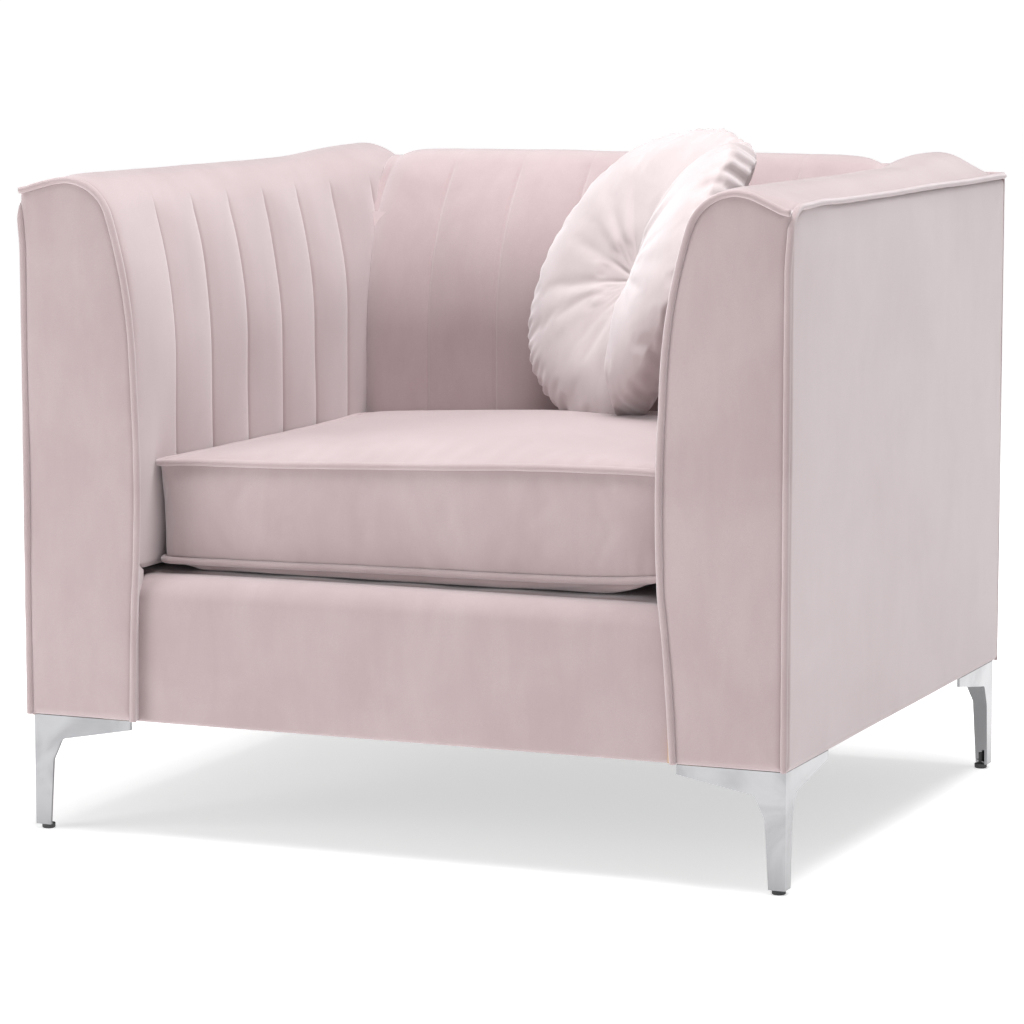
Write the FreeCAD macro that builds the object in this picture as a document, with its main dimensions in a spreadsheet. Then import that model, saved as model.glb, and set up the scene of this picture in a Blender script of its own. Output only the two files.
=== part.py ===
import FreeCAD, Part
import math
import os
import re
import Sketcher

# An upholstered armchair with round-topped arms, a rolled back, a loose box cushion, a round
# tufted pillow and angle-shaped metal feet.  Millimetres; +Z up, front towards -Y, origin on the
# floor below the middle of the chair.  "Right" is the +X side.

doc = FreeCAD.newDocument("Armchair")
sheet = doc.addObject("Spreadsheet::Sheet", "Sizes")
nodes = []

# Driving sizes: alias, value, what it is.
SIZES = [
    ("overall_width", 960, "between the fabric faces of the two arms"),
    ("overall_depth", 850, "front piping to rear piping"),
    ("base_height", 140, "floor to underside of the upholstery"),
    ("arm_crest_height", 787, "floor to the top of an arm"),
    ("back_rise", 3, "top of the back above the arms"),
    ("edge_drop", 25, "outer top edge below the arm crest"),
    ("edge_round", 9, "rounding of the outer top edge"),
    ("arm_width", 147, "thickness of an arm at the seat"),
    ("arm_crest_inset", 64, "arm crest in from the outer face"),
    ("arm_crest_radius", 58, "round top of an arm"),
    ("arm_sweep_radius", 612, "gentle lean of the inside of an arm"),
    ("back_thickness", 206, "thickness of the back at the seat"),
    ("back_crest_inset", 70, "back crest in from the rear face"),
    ("back_crest_radius", 62, "round top of the back"),
    ("back_sweep_radius", 300, "gentle lean of the inside of the back"),
    ("back_overlap", 83, "how far the back's roll runs over each arm"),
    ("piping_radius", 4, "piping round the seams"),
    ("piping_proud", 2, "piping stands out of the fabric by this"),
    ("cover_thickness", 5, "padded inner covers"),
    ("board_thickness", 22, "hardwood rails and posts"),
    ("front_board_thickness", 18, "plywood boards at the front of the arms"),
    ("rail_height", 70, "base rails of the arms and back"),
    ("post_depth", 60, "back posts and top rails"),
    ("top_rail_drop", 75, "arms' wooden top rails below the arm crest"),
    ("arm_pad_thickness", 42, "foam on the inside of an arm"),
    ("back_pad_thickness", 52, "foam at the foot of the back"),
    ("liner_thickness", 4, "fibreboard behind the arm foam"),
    ("deck_height", 318, "floor to top of the platform below the cushion"),
    ("deck_thickness", 10, "padded platform cloth"),
    ("front_rail_setback", 13, "front rail cover behind the arm fronts"),
    ("front_rail_rise", 5, "front rail roll above the platform"),
    ("front_rail_roll", 24, "rounding of the front rail"),
    ("front_rail_depth", 70, "front rail cover front to back"),
    ("front_pad_thickness", 17, "foam in front of the front rail"),
    ("lining_thickness", 2, "black dust cover"),
    ("strap_width", 50, "elastic webbing of the back"),
    ("strap_thickness", 2, "elastic webbing of the back"),
    ("spring_wire_radius", 2, "seat spring wire"),
    ("spring_loop_radius", 12, "half loops of a seat spring"),
    ("spring_width", 50, "width of a seat spring"),
    ("cushion_clearance", 2, "cushion to each arm"),
    ("cushion_gap", 2, "cushion to the back"),
    ("cushion_setback", 61, "cushion front behind the arm fronts"),
    ("cushion_lift", 0.3, "air between cushion and platform"),
    ("cushion_belly", 15, "lower bulge of the cushion"),
    ("cushion_boxing", 122, "side band between the two piped seams"),
    ("cushion_crown", 18, "upper bulge of the cushion"),
    ("cushion_bulge_reach", 80, "width of the sloping edge of the bulges"),
    ("cushion_corner", 26, "rounded upright corners"),
    ("cushion_fabric", 7, "cushion cover with its wadding"),
    ("zip_length", 560, "zip across the rear of the cushion"),
    ("zip_width", 24, "zip tape width"),
    ("zip_thickness", 1.2, "zip tape thickness"),
    ("slider_length", 12, "zip slider"),
    ("slider_width", 9, "zip slider"),
    ("slider_thickness", 1.4, "zip slider"),
    ("slider_gap", 0.1, "air between zip tape and slider"),
    ("pillow_radius", 201, "round pillow"),
    ("pillow_half", 43, "half its fullness"),
    ("pillow_dimple_half", 23, "half its thickness at the button"),
    ("pillow_rim_radius", 12, "round edge of the pillow"),
    ("pillow_fabric", 2, "pillow cover"),
    ("pillow_turn", -26.4, "turned towards the left, degrees"),
    ("pillow_lean", 26.3, "leaning back, degrees"),
    ("pillow_from_arm", 221, "pillow centre in from the right arm"),
    ("pillow_from_back", 93, "pillow centre in front of the back"),
    ("pillow_gap", 0.5, "air between pillow and cushion"),
    ("button_radius", 14, "covered buttons"),
    ("button_height", 6, "covered buttons"),
    ("button_crown", 9.8, "radius where a button's dome breaks"),
    ("button_crown_height", 5.1, "height where a button's dome breaks"),
    ("dimple_margin", 1, "flat cloth round a button"),
    ("twine_radius", 1.2, "twine between the buttons"),
    ("foot_inset", 4, "feet in from the arm faces"),
    ("foot_front_inset", 12, "feet in from the arm fronts"),
    ("foot_front_wing", 130, "length of the front wing"),
    ("foot_side_wing", 150, "length of the side wing"),
    ("foot_wall", 3.5, "feet metal thickness"),
    ("foot_leg_width", 20, "width of the upright at its foot"),
    ("foot_leg_flare", 5, "how much wider the upright is at its top"),
    ("foot_wing_end", 11, "height of a wing at its tip"),
    ("foot_wing_root", 28, "height of a wing beside the upright"),
    ("foot_root_reach", 12, "how far a wing's root stands out from the upright"),
    ("foot_root_drop", 26, "height of the bend below a wing's root"),
    ("foot_flange", 96, "legs of the triangular mounting plate"),
    ("glide_radius", 8, "plastic glide"),
    ("glide_height", 6, "glide below the metal"),
    ("glide_chamfer", 1, "bevel round the glide's foot"),
    ("glide_inset", 11, "glide centre in from the foot's outer faces"),
    ("glide_stem", 3, "radius of the glide's stem"),
    ("glide_stem_length", 14, "glide's stem"),
    ("clip_width", 12, "spring clip, along the wire"),
    ("clip_length", 14, "spring clip, across the rail"),
    ("cover_step", 1, "inner covers start this far above the front rail"),
    ("edge_step", 1, "inner covers stop this far below the outer edge"),
    ("rail_side_gap", 1, "front rail's cover stops this far short of the arm's frame"),
    ("rear_rail_gap", 8, "rear seat rail behind the back's cover"),
    ("side_rail_gap", 17, "side rails outwards from the arms' inner faces"),
    ("block_air", 2, "air beside a corner block"),
    ("fit_clearance", 0.2, "running fit round stems, screws and twine"),
    ("screw_radius", 2, "foot screws"),
    ("screw_length", 30, "foot screws, below the head"),
    ("screw_head_radius", 4, "foot screws"),
    ("screw_head_height", 2.5, "foot screws"),
    ("block_size", 78, "legs of the wooden corner blocks, where the rails leave room"),
    ("block_height", 40, "corner blocks"),
    ("screw_near", 10, "screws in from the block's square edges"),
    ("screw_far", 37, "outlying screws along the block"),
]

# Sizes worked out from the driving ones: alias, formula. The min() forms keep a roll's curves tangent
# and a block clear of its rail when a width or a thickness shrinks.
DERIVED = [
    ("half_width", "overall_width / 2"),
    ("half_depth", "overall_depth / 2"),
    ("arm_inner", "half_width - arm_width"),
    ("piping_sink", "piping_radius - piping_proud"),
    ("panel_thickness", "piping_radius + piping_sink"),
    ("back_crest_height", "arm_crest_height + back_rise"),
    ("top_rail_height", "arm_crest_height - top_rail_drop"),
    ("lining_face", "half_width - panel_thickness"),
    ("arm_void", "arm_inner + cover_thickness + arm_pad_thickness"),
    ("fabric_front", "half_depth - piping_proud"),
    ("fabric_rear", "half_depth - piping_proud"),
    ("cover_front", "fabric_front - panel_thickness"),
    ("board_rear", "cover_front - front_board_thickness"),
    ("rear_lining", "fabric_rear - panel_thickness"),
    ("back_inner", "fabric_rear - back_thickness"),
    ("edge_height", "arm_crest_height - edge_drop"),
    ("arm_reach", "arm_width - arm_crest_inset"),
    ("arm_roll", "min(arm_crest_radius; arm_reach * 0.7; arm_crest_inset * 0.91)"),
    ("back_reach", "back_thickness - back_crest_inset"),
    ("back_roll", "min(back_crest_radius; back_reach * 0.46; back_crest_inset * 0.9)"),
    ("cover_foot", "deck_height + front_rail_rise + cover_step"),
    ("floor_of_frame", "base_height + lining_thickness"),
    ("rail_top", "deck_height - deck_thickness"),
    ("spring_seat", "rail_top - spring_wire_radius * 4"),
    ("seat_rail_rear", "back_inner + cover_thickness + rear_rail_gap"),
    ("side_rail_inner", "arm_inner + side_rail_gap"),
    ("front_rail_face", "half_depth - front_rail_setback - piping_proud"),
    ("front_rail_wood", "front_rail_face - cover_thickness - front_pad_thickness"),
    ("post_inner", "half_width - panel_thickness - board_thickness * 2"),
    ("post_outer", "half_width - panel_thickness - board_thickness"),
    ("cushion_half", "arm_inner - cushion_clearance - piping_proud"),
    ("cushion_front", "half_depth - cushion_setback"),
    ("cushion_depth", "cushion_front + back_inner - cushion_gap - piping_proud * 2"),
    ("cushion_bottom", "deck_height + cushion_lift"),
    ("cushion_low_seam", "cushion_bottom + cushion_belly"),
    ("cushion_high_seam", "cushion_low_seam + cushion_boxing"),
    ("cushion_height", "cushion_belly + cushion_boxing + cushion_crown"),
    ("pillow_across", "arm_inner - pillow_from_arm"),
    ("pillow_behind", "back_inner - pillow_from_back"),
    ("pillow_foot", "(pillow_radius - pillow_rim_radius) * cos(pillow_lean * 1 deg)"),
    ("pillow_height",
     "cushion_bottom + cushion_height + pillow_gap + pillow_foot + pillow_rim_radius"),
    ("cushion_rear", "back_inner - cushion_gap - piping_proud"),
    ("corner_across", "foot_inset - half_width"),
    ("corner_along", "foot_front_inset - fabric_front"),
    ("block_leg", "min(block_size; post_outer - side_rail_inner - board_thickness - block_air)"),
    ("block_across", "panel_thickness + board_thickness - foot_inset"),
    ("block_along", "panel_thickness + front_board_thickness - foot_front_inset"),
    ("foot_height", "base_height - glide_height"),
]


def fill_sheet():
    """Write every driving and derived size into the sheet and name its cell."""
    for row, (alias, size, note) in enumerate(SIZES, start=1):
        sheet.set(f"A{row}", alias)
        sheet.set(f"B{row}", str(size))
        sheet.setAlias(f"B{row}", alias)
        sheet.set(f"C{row}", note)
    for row, (alias, formula) in enumerate(DERIVED, start=len(SIZES) + 1):
        sheet.set(f"A{row}", alias)
        sheet.set(f"B{row}", "=" + formula)
        sheet.setAlias(f"B{row}", alias)
    doc.recompute()


ALIASES = {entry[0] for entry in SIZES} | {entry[0] for entry in DERIVED}


def from_sheet(text):
    """Spell an expression so that each alias is read from the sheet."""
    return re.sub(r"[a-z_]+", lambda word: f"Sizes.{word[0]}" if word[0] in ALIASES else word[0], text)


def number(text):
    """The value of an expression, as a plain number."""
    return float(sheet.evalExpression(from_sheet(text)))


def bind(item, path, text):
    item.setExpression(path, from_sheet(text))


def node(item):
    """Remember a finished sub-part, which is written out under its Label."""
    nodes.append(item)
    return item


def place(item, x="0", y="0", z="0"):
    for axis, text in (("x", x), ("y", y), ("z", z)):
        bind(item, f"Placement.Base.{axis}", text)
    return item


# ---------------------------------------------------------------- helpers for primitives

def box(label, x, y, z):
    """A box between pairs of expressions along each axis."""
    item = doc.addObject("Part::Box", label)
    for side, (low, high) in (("Length", x), ("Width", y), ("Height", z)):
        bind(item, side, f"({high}) - ({low})")
    return place(item, x[0], y[0], z[0])


def cylinder(label, radius, height, x="0", y="0", z="0"):
    item = doc.addObject("Part::Cylinder", label)
    bind(item, "Radius", radius)
    bind(item, "Height", height)
    return place(item, x, y, z)


def cut(label, base, tool):
    item = doc.addObject("Part::Cut", label)
    item.Base = base
    item.Tool = tool
    return item


def fuse(label, pieces):
    item = doc.addObject("Part::MultiFuse", label)
    item.Shapes = pieces
    return item


def group(label, pieces):
    """Separate solids kept together in one sub-part."""
    item = doc.addObject("Part::Compound", label)
    item.Links = pieces
    return item


def mirror(label, source, normal):
    item = doc.addObject("Part::Mirroring", label)
    item.Source = source
    item.Normal = normal
    return item


def mirrored_pair(stem, right):
    """Name the right-hand piece and make its left-hand twin."""
    right.Label = stem + "_right"
    node(right)
    return node(mirror(stem + "_left", right, FreeCAD.Vector(1, 0, 0)))


def both_sides(label, right):
    """A piece and its mirror image as two solids of one sub-part."""
    return group(label, [right, mirror(right.Label + "Left", right, FreeCAD.Vector(1, 0, 0))])


# ---------------------------------------------------------------- helpers for bodies

def new_body(label):
    return doc.addObject("PartDesign::Body", label)


def new_sketch(body, name, plane):
    sketch = body.newObject("Sketcher::SketchObject", name)
    support = [item for item in body.Origin.OriginFeatures if item.Role == plane][0]
    sketch.AttachmentSupport = [(support, "")]
    sketch.MapMode = "FlatFace"
    return sketch


def limit(sketch, kind, where, text):
    """Add a dimension and bind it to the sheet; where lists geometry and point numbers."""
    index = sketch.addConstraint(Sketcher.Constraint(kind, *where, number(text)))
    bind(sketch, f"Constraints[{index}]", text)


def pin_point(sketch, geometry, end, across, up):
    """Hold one end of an edge at the given place in the sketch."""
    for kind, axis, text in (("DistanceX", -2, across), ("DistanceY", -1, up)):
        if text == "0":
            sketch.addConstraint(Sketcher.Constraint("PointOnObject", geometry, end, axis))
        else:
            limit(sketch, kind, (-1, 1, geometry, end), text)


def polygon(sketch, corners):
    """A closed outline of straight edges, each corner held by its two expressions."""
    spots = [FreeCAD.Vector(number(across), number(up), 0) for across, up in corners]
    for start, end in zip(spots, spots[1:] + spots[:1]):
        sketch.addGeometry(Part.LineSegment(start, end))
    for index, (across, up) in enumerate(corners):
        before = (index - 1) % len(corners)
        sketch.addConstraint(Sketcher.Constraint("Coincident", before, 2, index, 1))
        pin_point(sketch, index, 1, across, up)


def circle(sketch, radius, across="0", up="0"):
    centre = FreeCAD.Vector(number(across), number(up), 0)
    index = sketch.addGeometry(Part.Circle(centre, FreeCAD.Vector(0, 0, 1), number(radius)))
    limit(sketch, "Radius", (index,), radius)
    pin_point(sketch, index, 3, across, up)


def pad(body, sketch, length, reversed_way=False, symmetric=False):
    feature = body.newObject("PartDesign::Pad", body.Name + "Pad")
    feature.Profile = sketch
    bind(feature, "Length", length)
    feature.Reversed = reversed_way
    feature.SideType = "Symmetric" if symmetric else "One side"
    return feature


def pocket_through(body, sketch):
    """Cut a sketch through the whole body and make sure that it took something away."""
    doc.recompute()
    before = body.Shape.Volume
    feature = body.newObject("PartDesign::Pocket", body.Name + "Pocket")
    feature.Profile = sketch
    feature.Type = "ThroughAll"
    feature.SideType = "Symmetric"
    doc.recompute()
    if body.Shape.Volume >= before:
        raise ValueError(f"{body.Label}: a pocket cut nothing")
    return feature


def revolve(body, sketch):
    """Turn an outline in the XZ plane right round the upright axis."""
    feature = body.newObject("PartDesign::Revolution", body.Name + "Turn")
    feature.Profile = sketch
    feature.ReferenceAxis = (sketch, ["V_Axis"])
    feature.Angle = 360
    return feature


def edges_where(shape, test):
    """Names of the edges whose middle point passes the test."""
    names = []
    for index, edge in enumerate(shape.Edges, start=1):
        if test(edge.CenterOfMass, edge):
            names.append(f"Edge{index}")
    return names


def dress(body, kind, edges, **sizes):
    """Round named edges of the body's newest feature."""
    feature = body.newObject(f"PartDesign::{kind}", body.Name + kind)
    feature.Base = (body.Group[-2], edges)
    for name, text in sizes.items():
        bind(feature, name, text)
    doc.recompute()
    return feature


# ---------------------------------------------------------------- the roll of an arm or the back

ARM_ROLL = {
    "inner": "arm_inner", "outer": "half_width", "crest_at": "half_width - arm_crest_inset",
    "crest": "arm_crest_height", "roll": "arm_roll", "sweep": "arm_sweep_radius",
    "edge": "edge_height", "round": "edge_round",
}
BACK_ROLL = {
    "inner": "back_inner", "outer": "fabric_rear", "crest_at": "fabric_rear - back_crest_inset",
    "crest": "back_crest_height", "roll": "back_roll", "sweep": "back_sweep_radius",
    "edge": "edge_height", "round": "edge_round",
}


def inset(roll, amount, outer):
    """The same roll, smaller all round by an amount, with its own outer limit."""
    smaller = dict(roll)
    smaller["inner"] = f"{roll['inner']} + {amount}"
    smaller["outer"] = outer
    smaller["crest"] = f"{roll['crest']} - {amount}"
    smaller["roll"] = f"{roll['roll']} - {amount}"
    smaller["sweep"] = f"{roll['sweep']} - {amount}"
    smaller["edge"] = f"{roll['edge']} - {amount}"
    smaller["round"] = f"{roll['round']} - {amount}"
    return smaller


def roll_outline(sketch, roll, foot, closed=True):
    """Up the inside, over the crest and down the outside: two lines joined by four tangent curves.

    Edges in order: inside line, sweep arc, crest arc, outer slope, edge rounding, outside line
    and, when closed, the line along the foot.
    """
    inner = number(roll["inner"])
    outer = number(roll["outer"])
    bottom = number(foot)
    sweep = number(roll["sweep"])
    crest_radius = number(roll["roll"])
    rounding = number(roll["round"])
    crest = FreeCAD.Vector(number(roll["crest_at"]), number(roll["crest"]) - crest_radius, 0)
    corner = FreeCAD.Vector(outer - rounding, number(roll["edge"]) - rounding, 0)
    across = crest.x - inner - sweep
    rise = math.sqrt((sweep - crest_radius) ** 2 - across ** 2)
    lean = FreeCAD.Vector(inner + sweep, crest.y - rise, 0)
    away = corner - crest
    slope = math.asin((crest_radius - rounding) / away.Length) - math.atan2(away.y, away.x)
    upward = FreeCAD.Vector(math.sin(slope), math.cos(slope), 0)
    meet = (crest - lean).normalize() * crest_radius + crest
    leave = crest + upward * crest_radius
    land = corner + upward * rounding
    side = FreeCAD.Vector(outer, corner.y, 0)
    flat = FreeCAD.Vector(0, 0, 1)

    def arc(centre, radius, start, end):
        """An arc from end to start, seen anticlockwise."""
        ring = Part.Circle(centre, flat, radius)
        return Part.ArcOfCircle(ring, ring.parameter(start), ring.parameter(end))

    start = FreeCAD.Vector(inner, lean.y, 0)
    sketch.addGeometry(Part.LineSegment(FreeCAD.Vector(inner, bottom, 0), start))
    sketch.addGeometry(arc(lean, sweep, meet, start))
    sketch.addGeometry(arc(crest, crest_radius, leave, meet))
    sketch.addGeometry(Part.LineSegment(leave, land))
    sketch.addGeometry(arc(corner, rounding, side, land))
    sketch.addGeometry(Part.LineSegment(side, FreeCAD.Vector(outer, bottom, 0)))
    # Arcs run anticlockwise, so each one is entered at its end and left at its start.
    for first, first_end, second, second_end in ((0, 2, 1, 2), (1, 1, 2, 2), (2, 1, 3, 1),
                                                 (3, 2, 4, 2), (4, 1, 5, 1)):
        sketch.addConstraint(Sketcher.Constraint("Tangent", first, first_end, second, second_end))
    pin_point(sketch, 0, 1, roll["inner"], foot)
    pin_point(sketch, 5, 2, roll["outer"], foot)
    sketch.addConstraint(Sketcher.Constraint("Vertical", 0))
    sketch.addConstraint(Sketcher.Constraint("Vertical", 5))
    limit(sketch, "Radius", (1,), roll["sweep"])
    limit(sketch, "Radius", (2,), roll["roll"])
    limit(sketch, "Radius", (4,), roll["round"])
    pin_point(sketch, 2, 3, roll["crest_at"], f"{roll['crest']} - ({roll['roll']})")
    limit(sketch, "DistanceY", (-1, 1, 4, 1), f"{roll['edge']} - {roll['round']}")
    if closed:
        last = sketch.addGeometry(Part.LineSegment(FreeCAD.Vector(outer, bottom, 0),
                                                   FreeCAD.Vector(inner, bottom, 0)))
        sketch.addConstraint(Sketcher.Constraint("Coincident", 5, 2, last, 1))
        sketch.addConstraint(Sketcher.Constraint("Coincident", last, 2, 0, 1))


def arm_slab(label, roll, foot, front, rear):
    """A slab with an arm's outline between two places along Y."""
    body = new_body(label)
    sketch = new_sketch(body, label + "Outline", "XZ_Plane")
    roll_outline(sketch, roll, foot)
    pad(body, sketch, f"({rear}) - ({front})", reversed_way=True)
    return place(body, y=front)


def back_slab(label, roll, foot, half_span):
    """A slab with the back's outline, as wide each side of the middle as half_span."""
    body = new_body(label)
    sketch = new_sketch(body, label + "Outline", "YZ_Plane")
    roll_outline(sketch, roll, foot)
    pad(body, sketch, f"2 * ({half_span})", symmetric=True)
    return body


# ---------------------------------------------------------------- wooden frame

def arm_frames():
    """Front board, base rail, top rail, middle post, liner and seat side rail of each arm."""
    board = arm_slab("ArmFrontBoard", inset(ARM_ROLL, "cover_thickness", "lining_face"),
                     "floor_of_frame", "-cover_front", "-board_rear")
    mirrored_pair("arm_front_board", board)
    behind_board = "-board_rear"
    mirrored_pair("arm_base_rail", box(
        "ArmBaseRail", ("post_outer", "lining_face"), (behind_board, "rear_lining"),
        ("floor_of_frame", "floor_of_frame + rail_height")))
    mirrored_pair("arm_top_rail", box(
        "ArmTopRail", ("arm_void + liner_thickness", "lining_face"),
        (behind_board, "rear_lining - post_depth"),
        ("top_rail_height - board_thickness", "top_rail_height")))
    node(both_sides("arm_mid_posts", box(
        "ArmMidPost", ("post_outer", "lining_face"), ("-board_thickness", "board_thickness"),
        ("floor_of_frame + rail_height", "top_rail_height - board_thickness"))))
    node(both_sides("arm_liners", box(
        "ArmLiner", ("arm_void", "arm_void + liner_thickness"),
        (behind_board, "rear_lining - post_depth"), ("cover_foot", "top_rail_height"))))
    mirrored_pair("seat_side_rail", box(
        "SeatSideRail", ("side_rail_inner", "side_rail_inner + board_thickness"),
        (behind_board, "rear_lining - front_board_thickness"), ("floor_of_frame", "rail_top")))


def back_frame():
    """Base rail, posts, top rail, tack rail and the elastic webbing of the back."""
    node(box("back_base_rail", ("-post_inner", "post_inner"),
             ("rear_lining - front_board_thickness", "rear_lining"),
             ("floor_of_frame", "floor_of_frame + rail_height")))
    mirrored_pair("back_post", box(
        "BackPost", ("post_inner", "post_outer"), ("rear_lining - post_depth", "rear_lining"),
        ("floor_of_frame + block_height", "top_rail_height - board_thickness")))
    node(box("back_top_rail", ("-post_inner", "post_inner"),
             ("rear_lining - post_depth", "rear_lining"),
             ("top_rail_height - board_thickness * 2", "top_rail_height - board_thickness")))
    node(box("back_tack_rail", ("-side_rail_inner", "side_rail_inner"),
             ("back_inner + cover_thickness + back_pad_thickness + strap_thickness",
              "back_inner + cover_thickness + back_pad_thickness + strap_thickness"
              " + board_thickness"),
             ("cover_foot", "cover_foot + post_depth")))


def seat_frame():
    """Front and rear seat rails and the stretcher between them."""
    node(box("seat_front_rail", ("-side_rail_inner", "side_rail_inner"),
             ("-front_rail_wood", "-front_rail_wood + board_thickness"),
             ("floor_of_frame", "spring_seat")))
    node(box("seat_rear_rail", ("-side_rail_inner", "side_rail_inner"),
             ("seat_rail_rear", "seat_rail_rear + board_thickness"),
             ("floor_of_frame", "spring_seat")))
    node(box("seat_stretcher", ("-board_thickness / 2", "board_thickness / 2"),
             ("-front_rail_wood + board_thickness", "seat_rail_rear"),
             ("floor_of_frame", "floor_of_frame + rail_height")))


# ---------------------------------------------------------------- springs and webbing

def seat_spring(across, front, rear):
    """A zigzag wire from the front rail to the rear rail: half loops joined by short bars."""
    loop = number("spring_loop_radius")
    half = number("spring_width") / 2 - loop
    height = number("spring_seat + spring_wire_radius")
    count = int((rear - front) / (2 * loop)) // 2 * 2
    pitch = (rear - front) / count
    edges = []
    here = FreeCAD.Vector(across - half, front, height)
    side = 1
    for turn in range(count):
        bar_end = FreeCAD.Vector(across + side * half, here.y, height)
        edges.append(Part.LineSegment(here, bar_end).toShape())
        if turn < count - 1:
            crown = bar_end + FreeCAD.Vector(side * pitch / 2, pitch / 2, 0)
            loop_end = bar_end + FreeCAD.Vector(0, pitch, 0)
            edges.append(Part.Arc(bar_end, crown, loop_end).toShape())
            here = loop_end
        side = -side
    wire = Part.Wire(edges)
    ring = Part.Circle(edges[0].valueAt(0), FreeCAD.Vector(1, 0, 0), number("spring_wire_radius"))
    return wire.makePipeShell([Part.Wire(ring.toShape())], True, False)


def seat_springs():
    """Five zigzag springs, side by side, and the clips that hold their ends."""
    front = -number("front_rail_wood") + number("board_thickness") / 2
    rear = number("seat_rail_rear") + number("board_thickness") / 2
    spacing = number("side_rail_inner * 2") / 6
    springs = []
    clips = []
    for place_number in range(-2, 3):
        across = place_number * spacing
        springs.append(seat_spring(across, front, rear))
        for end in (front, rear):
            clips.append(spring_clip(across, end))
    wires = doc.addObject("Part::Feature", "seat_springs")
    wires.Shape = Part.makeCompound(springs)
    node(wires)
    holders = doc.addObject("Part::Feature", "spring_clips")
    holders.Shape = Part.makeCompound(clips)
    node(holders)


def spring_clip(across, end):
    """A folded clip: a block over the wire's end bar, bored for it."""
    wire = number("spring_wire_radius")
    width = number("clip_width")
    half = number("clip_length") / 2
    base = FreeCAD.Vector(across - half, end - width / 2, number("spring_seat"))
    clip = Part.makeBox(2 * half, width, wire * 3, base)
    bore = Part.makeCylinder(wire + number("fit_clearance") / 2, 2 * half,
                             FreeCAD.Vector(across - half, end, base.z + wire),
                             FreeCAD.Vector(1, 0, 0))
    slot = Part.makeBox(2 * half, (wire + number("fit_clearance") / 2) * 2, wire,
                        FreeCAD.Vector(across - half, end - wire - number("fit_clearance") / 2, base.z))
    return clip.cut(bore).cut(slot)


def back_webbing():
    """Upright elastic straps from the tack rail to the top rail."""
    foot_y = "back_inner + cover_thickness + back_pad_thickness"
    straps = []
    for place_number in range(-2, 3):
        body = new_body(f"BackStrap{place_number + 3}")
        sketch = new_sketch(body, body.Name + "Outline", "YZ_Plane")
        polygon(sketch, [
            (foot_y, "cover_foot"), (f"{foot_y} + strap_thickness", "cover_foot"),
            (f"{foot_y} + strap_thickness", "cover_foot + post_depth"),
            ("rear_lining - post_depth", "top_rail_height - board_thickness * 2"),
            ("rear_lining - post_depth", "top_rail_height - board_thickness"),
            ("rear_lining - post_depth - strap_thickness", "top_rail_height - board_thickness"),
            ("rear_lining - post_depth - strap_thickness", "top_rail_height - board_thickness * 2"),
            (foot_y, "cover_foot + post_depth")])
        pad(body, sketch, "strap_width", symmetric=True)
        straps.append(place(body, f"{place_number} * (side_rail_inner * 2 - strap_width) / 5"))
    node(group("back_webbing", straps))


# ---------------------------------------------------------------- pads and covers

def above_back(label, roll):
    """The room above and behind the back's roll, from the back's crest rearwards."""
    room = box(label + "Room", ("-overall_width", "overall_width"),
               ("fabric_rear - back_crest_inset", "overall_depth"),
               ("deck_height", "overall_width"))
    return cut(label, room, back_slab(label + "Slab", roll, "0", "2 * overall_width"))


def arm_upholstery(core, back_envelope):
    """Foam, inner cover, front panel, outer panel and piping of each arm."""
    inside = inset(ARM_ROLL, "cover_thickness", "lining_face")
    outside = dict(ARM_ROLL, outer="lining_face", edge="edge_height - edge_step")
    room_inside = above_back("AboveBackInside",
                             inset(BACK_ROLL, "cover_thickness", "rear_lining + edge_step"))
    room_outside = above_back("AboveBackOutside", BACK_ROLL)
    pad_slab = arm_slab("ArmPadSlab", inside, "cover_foot", "-board_rear", "rear_lining")
    mirrored_pair("arm_pad", cut("ArmPad", pad_slab, fuse(
        "ArmPadTools", [core, back_envelope, room_inside])))
    whole = arm_slab("ArmCoverSlab", outside, "cover_foot", "-cover_front", "rear_lining")
    hollow = cut("ArmCoverHollow", arm_slab("ArmCoverCore", inside, "0", "-half_depth",
                                            "half_depth"), room_inside)
    mirrored_pair("inside_arm_cover", cut("InsideArmCover", whole, fuse(
        "ArmCoverTools", [hollow, back_envelope, room_outside])))
    face = inset(ARM_ROLL, "panel_thickness", "lining_face")
    mirrored_pair("arm_front_panel", arm_slab("ArmFrontPanel", face, "base_height",
                                              "-fabric_front", "-cover_front"))
    mirrored_pair("outside_arm_panel", box(
        "OutsideArmPanel", ("lining_face", "half_width"), ("-cover_front", "rear_lining"),
        ("base_height", "edge_height - panel_thickness")))


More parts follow.
